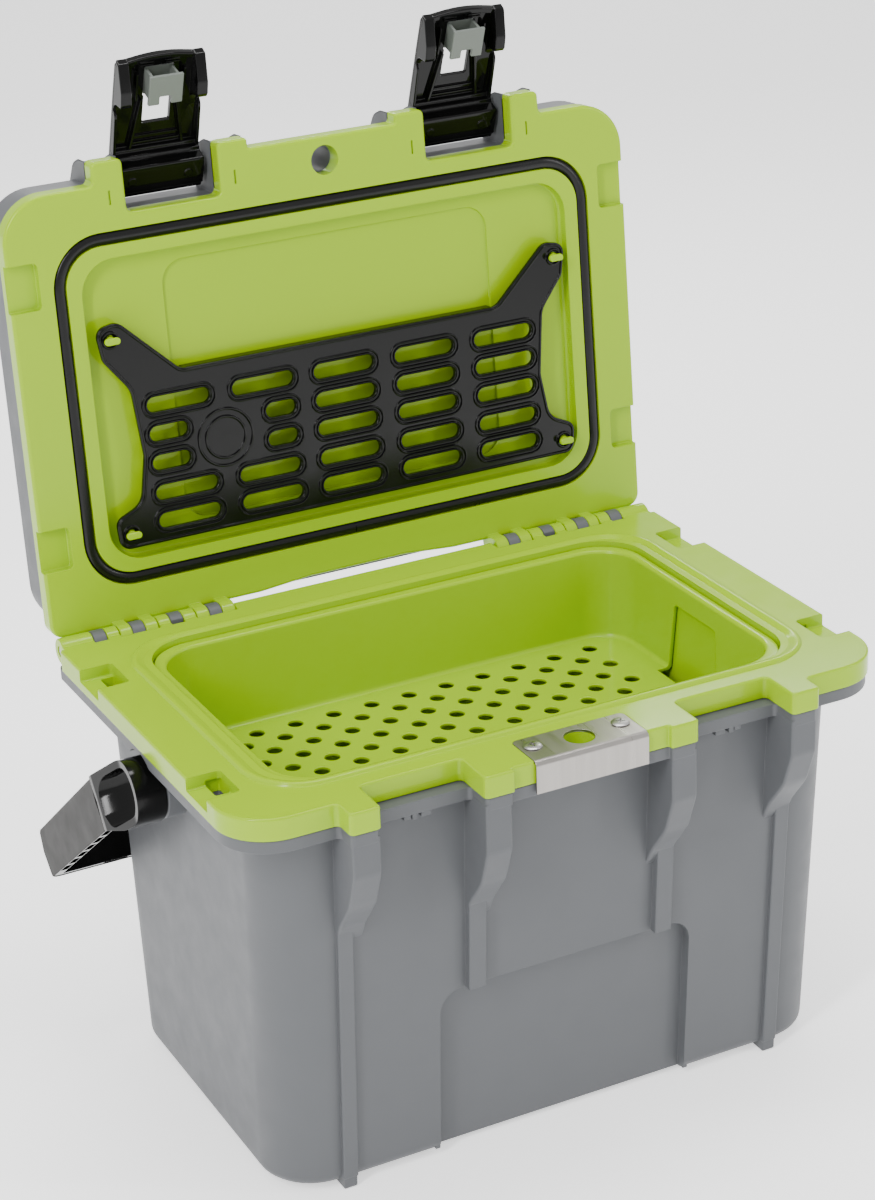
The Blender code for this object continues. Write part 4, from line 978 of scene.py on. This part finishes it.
def build_button(word, side):
    """Hollow release button with a notched face, in the lever's window."""
    middle = side * LATCH_X
    half = [(11, 77.0), (11, 57.0), (3.8, 57.0), (3.8, 62.5)]
    face = [(middle + across, -along, 0.6)
            for across, along in [(-11, 77.0)] + half + [(-x, t) for x, t in half[:0:-1]]]
    button = Piece("latch_button_" + word + "_fine",
                   slab(counter_clockwise(face), 5.2, 7.0, "Y", 0.0, 0.5, 3), axes=LATCH_AXES)
    box = [slab(rectangle(x, x + 1.8, -75.8, -59.0, 0.4), -8.0, 5.8, "Y", 0.4, 0.0, 2)
           for x in (middle - 9.3, middle + 7.5)]
    box.append(slab(rectangle(middle - 8.6, middle + 8.6, -61.6, -60.0, 0.4), -7.0, 1.8, "Y", 0.3, 0.3, 2))
    box.append(slab(rectangle(middle - 9.3, middle + 9.3, -76.2, -57.6, 0.8), -8.2, -6.2, "Y", 0.5, 0.0, 3))
    button.join(*box)
    button.done(BUTTON, "button_" + word, "button_grey", "latch_button_" + word)


# ---- Handle ----
def bail_path():
    """Plan of the bail's outer face: (x, r, inward direction) from the left root round to the right root."""
    corner, reach, half = BAIL_CORNER, GRIP_REACH, ARM_OUT
    arm = [(-half, ARM_START + (reach - corner - ARM_START) * n / 8, 1.0, 0.0) for n in range(8)]
    turn = []
    for n in range(13):
        angle = (pi / 2) * n / 12
        turn.append((-half + corner - corner * cos(angle), reach - corner + corner * sin(angle),
                     cos(angle), -sin(angle)))
    bar = [(-half + corner + (2 * half - 2 * corner) * n / 12, reach, 0.0, -1.0) for n in range(1, 12)]
    left = arm + turn
    return left + bar + [(-x, r, -dx, dy) for x, r, dx, dy in reversed(left)]


def bail_rings(section):
    """A cross-section, as (set in from the outer face, height), swept along the bail, taller at its roots."""
    rings = []
    for x, r, dx, dy in bail_path():
        lift = (GRIP_ROOT_HIGH - GRIP_HIGH) * (1 - min(1.0, (r - ARM_START) / (GRIP_REACH - ARM_START)))
        share = lift / (GRIP_HIGH - GRIP_LOW)
        rings.append([(x + dx * inset, r + dy * inset, z + share * (z - GRIP_LOW)) for inset, z in section])
    return rings


def build_handle():
    """Grey outer half of the bail, its black inner half with open bays below, and two black hubs."""
    low, high, step = GRIP_LOW, GRIP_HIGH, GRIP_LOW + 12.0
    ridge = 0.7
    outer = [(ridge + 0.9, low), (ridge + 0.3, low + 0.5), (ridge, low + 1.9), (0.0, 3.5),
             (ridge + 0.2, high - 2.6), (ridge + 0.9, high - 0.8), (ridge + 2.6, high),
             (BAIL_FACE - 0.3, high), (BAIL_FACE, high - 0.3), (BAIL_FACE, step), (BAIL_WALL, step),
             (BAIL_WALL, low)]
    bail = Piece("handle_bail_fine", bail_rings(outer), axes=GRIP_AXES)
    bail.done(HANDLE, "handle", "handle_grey", "handle_bail", sharp=28)

    near, edge, foot = BAIL_FACE + GAP, BAIL_WALL + GAP, low + 0.4
    lining = [(near, step - GAP), (near, high - 1.2), (near + 0.3, high - 0.9),
              (BAIL_THICK - 0.6, high - 0.9), (BAIL_THICK, high - 1.5), (BAIL_THICK, low + 1.0),
              (BAIL_THICK - 0.6, foot), (edge, foot), (edge, step - GAP)]
    strip = Piece("handle_insert_fine", bail_rings(lining), axes=GRIP_AXES)
    rim = edge + 1.0
    wide = BAIL_THICK - 1.0 - rim
    plans = []
    for n in range(6):
        start = ARM_START + 5 + n * BAY_PITCH
        plans += [(x, x + wide, start, start + BAY_LONG) for x in (-ARM_OUT + rim, ARM_OUT - rim - wide)]
    far = GRIP_REACH - rim
    plans += [(n * BAY_PITCH - BAY_LONG / 2, n * BAY_PITCH + BAY_LONG / 2, far - wide, far)
              for n in range(-9, 10)]
    strip.cut(*[slab(rectangle(*plan, 0.8), low - 10, low + 9.0, "Z", 0.0, 0.6, 2) for plan in plans])
    strip.done(HUB, "handle", "handle_black", "handle_insert")

    for word, side in SIDES:
        build_hub(word, side)


def build_hub(word, side):
    """Black hub with a rimmed end, a deep D-shaped cup and a shoulder that slants out to the arm."""
    root = ARM_START - GAP
    view = [(-HUB_RADIUS, -HUB_RADIUS, 19.5), (8.0, -HUB_RADIUS, 14.0), (root, GRIP_LOW, 0),
            (root, GRIP_ROOT_HIGH, 0), (-HUB_RADIUS, HUB_RADIUS + 0.3, 19.5)]
    hub = Piece("handle_hub_" + word + "_fine",
                slab(view, *span(side, BOSS_END + GAP, ARM_OUT), "X", 0.5, 0.5, 3), axes=GRIP_AXES)
    plan = [(BOSS_END - 5, -HUB_RADIUS - 2, 0), (HUB_END, -HUB_RADIUS - 2, 0), (HUB_END, -6.0, 14.0),
            (ARM_OUT - 0.5, 27.0, 4.0), (ARM_OUT - 0.5, root + 3, 0), (ARM_IN, root + 3, 0),
            (ARM_IN, 27.0, 4.0), (HUB_INNER, HUB_RADIUS, 3.0), (HUB_INNER, 12.0, 0), (BOSS_END - 5, 12.0, 0)]
    hub.keep(prism(rounded(counter_clockwise([(side * x, r, size) for x, r, size in plan])), -40.0, 40.0))
    cup = []
    for x, reach in ((208.6, 8.0), (HUB_INNER + 2, 9.5), (HUB_INNER + 8, 19.0), (HUB_END + 15, 28.0)):
        shape = [(-15.6, -15.6, 14.4), (reach - 4, -15.6, 6.4), (reach, -6.0, 4.0),
                 (reach, 15.6, min(11.0, reach)), (-15.6, 15.6, 14.4)]
        cup.append(place(rounded(shape, [10, 6, 4, 8, 10]), side * x, "X"))
    hub.cut(cup)
    hub.cut(prism(circle(0.0, 0.0, HUB_BORE, 32), *span(side, 200.0, 212.0), "X"))
    for x in (-10.0, 6.0):
        hub.join(slab(rectangle(x, x + 1.2, -12.0, 12.0, 0.3), *span(side, 207.6, 212.0), "X", 0.3, 0.3, 2))
    hub.done(HUB, "handle", "handle_black", "handle_hub_" + word)


# ---- Pieces that keep their frame shape ----
def dress_frame_nodes():
    """Materials for the foam, pins and axles, which keep the frame's own meshes."""
    looks = {"body_foam": FOAM, "lid_foam": FOAM}
    looks.update({kind + word: PIN for word, _ in SIDES
                  for kind in ("hinge_pin_", "latch_pin_", "handle_axle_")})
    for node, material in looks.items():
        data = frame["nodes"][node].data
        data.materials.clear()
        data.materials.append(material)


# ---- Stage ----
def make_floor():
    """Pale paper that glows a little, under the runners."""
    floor_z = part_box("body_shell")[0].z
    mesh = bpy.data.meshes.new("floor")
    far = 6.0
    mesh.from_pydata([(x, y, floor_z) for x, y, _ in rectangle(-far, far, -far, far)], [], [(0, 1, 2, 3)])
    floor = new_object("floor", mesh)
    paper = Nodes("floor_paper")
    tone = paper.noise(2.0, 2.0)
    paper.link(paper.blend(tone, grey(0.96), grey(0.94)), paper.shader.inputs["Base Color"])
    set_inputs(paper.shader, {"Roughness": 0.9, "Emission Color": (1.0, 1.0, 1.0, 1.0),
                              "Emission Strength": 0.9})
    mesh.materials.append(paper.material)


def make_world():
    """Even white studio surroundings."""
    world = bpy.data.worlds.new("studio")
    bpy.context.scene.world = world
    world.use_nodes = True
    set_inputs(world.node_tree.nodes["Background"], {"Color": (1.0, 1.0, 1.0, 1.0), "Strength": 0.9})


def make_softbox(name, place_m, target_z, size, watts):
    """A rectangular area light aimed at a height on the object's middle line, in metres."""
    data = bpy.data.lights.new(name, "AREA")
    data.shape = "RECTANGLE"
    data.size, data.size_y = size
    data.energy = watts
    lamp = new_object(name, data)
    lamp.location = place_m
    aim = Vector((0, 0, target_z)) - Vector(place_m)
    lamp.rotation_euler = aim.to_track_quat("-Z", "Y").to_euler()


build_shell()
build_liner()
build_tray()
build_plate()
build_lid_liner()
build_lid_shell()
build_gasket()
build_organiser()
for word, side in SIDES:
    build_lever(word, side)
    build_button(word, side)
build_handle()
dress_frame_nodes()
make_floor()
make_world()
make_softbox("key", (-1.7, -1.0, 1.8), 0.25, (0.3, 1.4), 44.0)
make_softbox("fill", (1.5, -1.3, 1.0), 0.25, (0.12, 1.2), 10.0)
make_softbox("top", (0.1, 0.2, 2.2), 0.25, (1.4, 0.4), 26.0)
make_softbox("rim", (0.8, 1.6, 1.3), 0.3, (1.6, 0.1), 12.0)
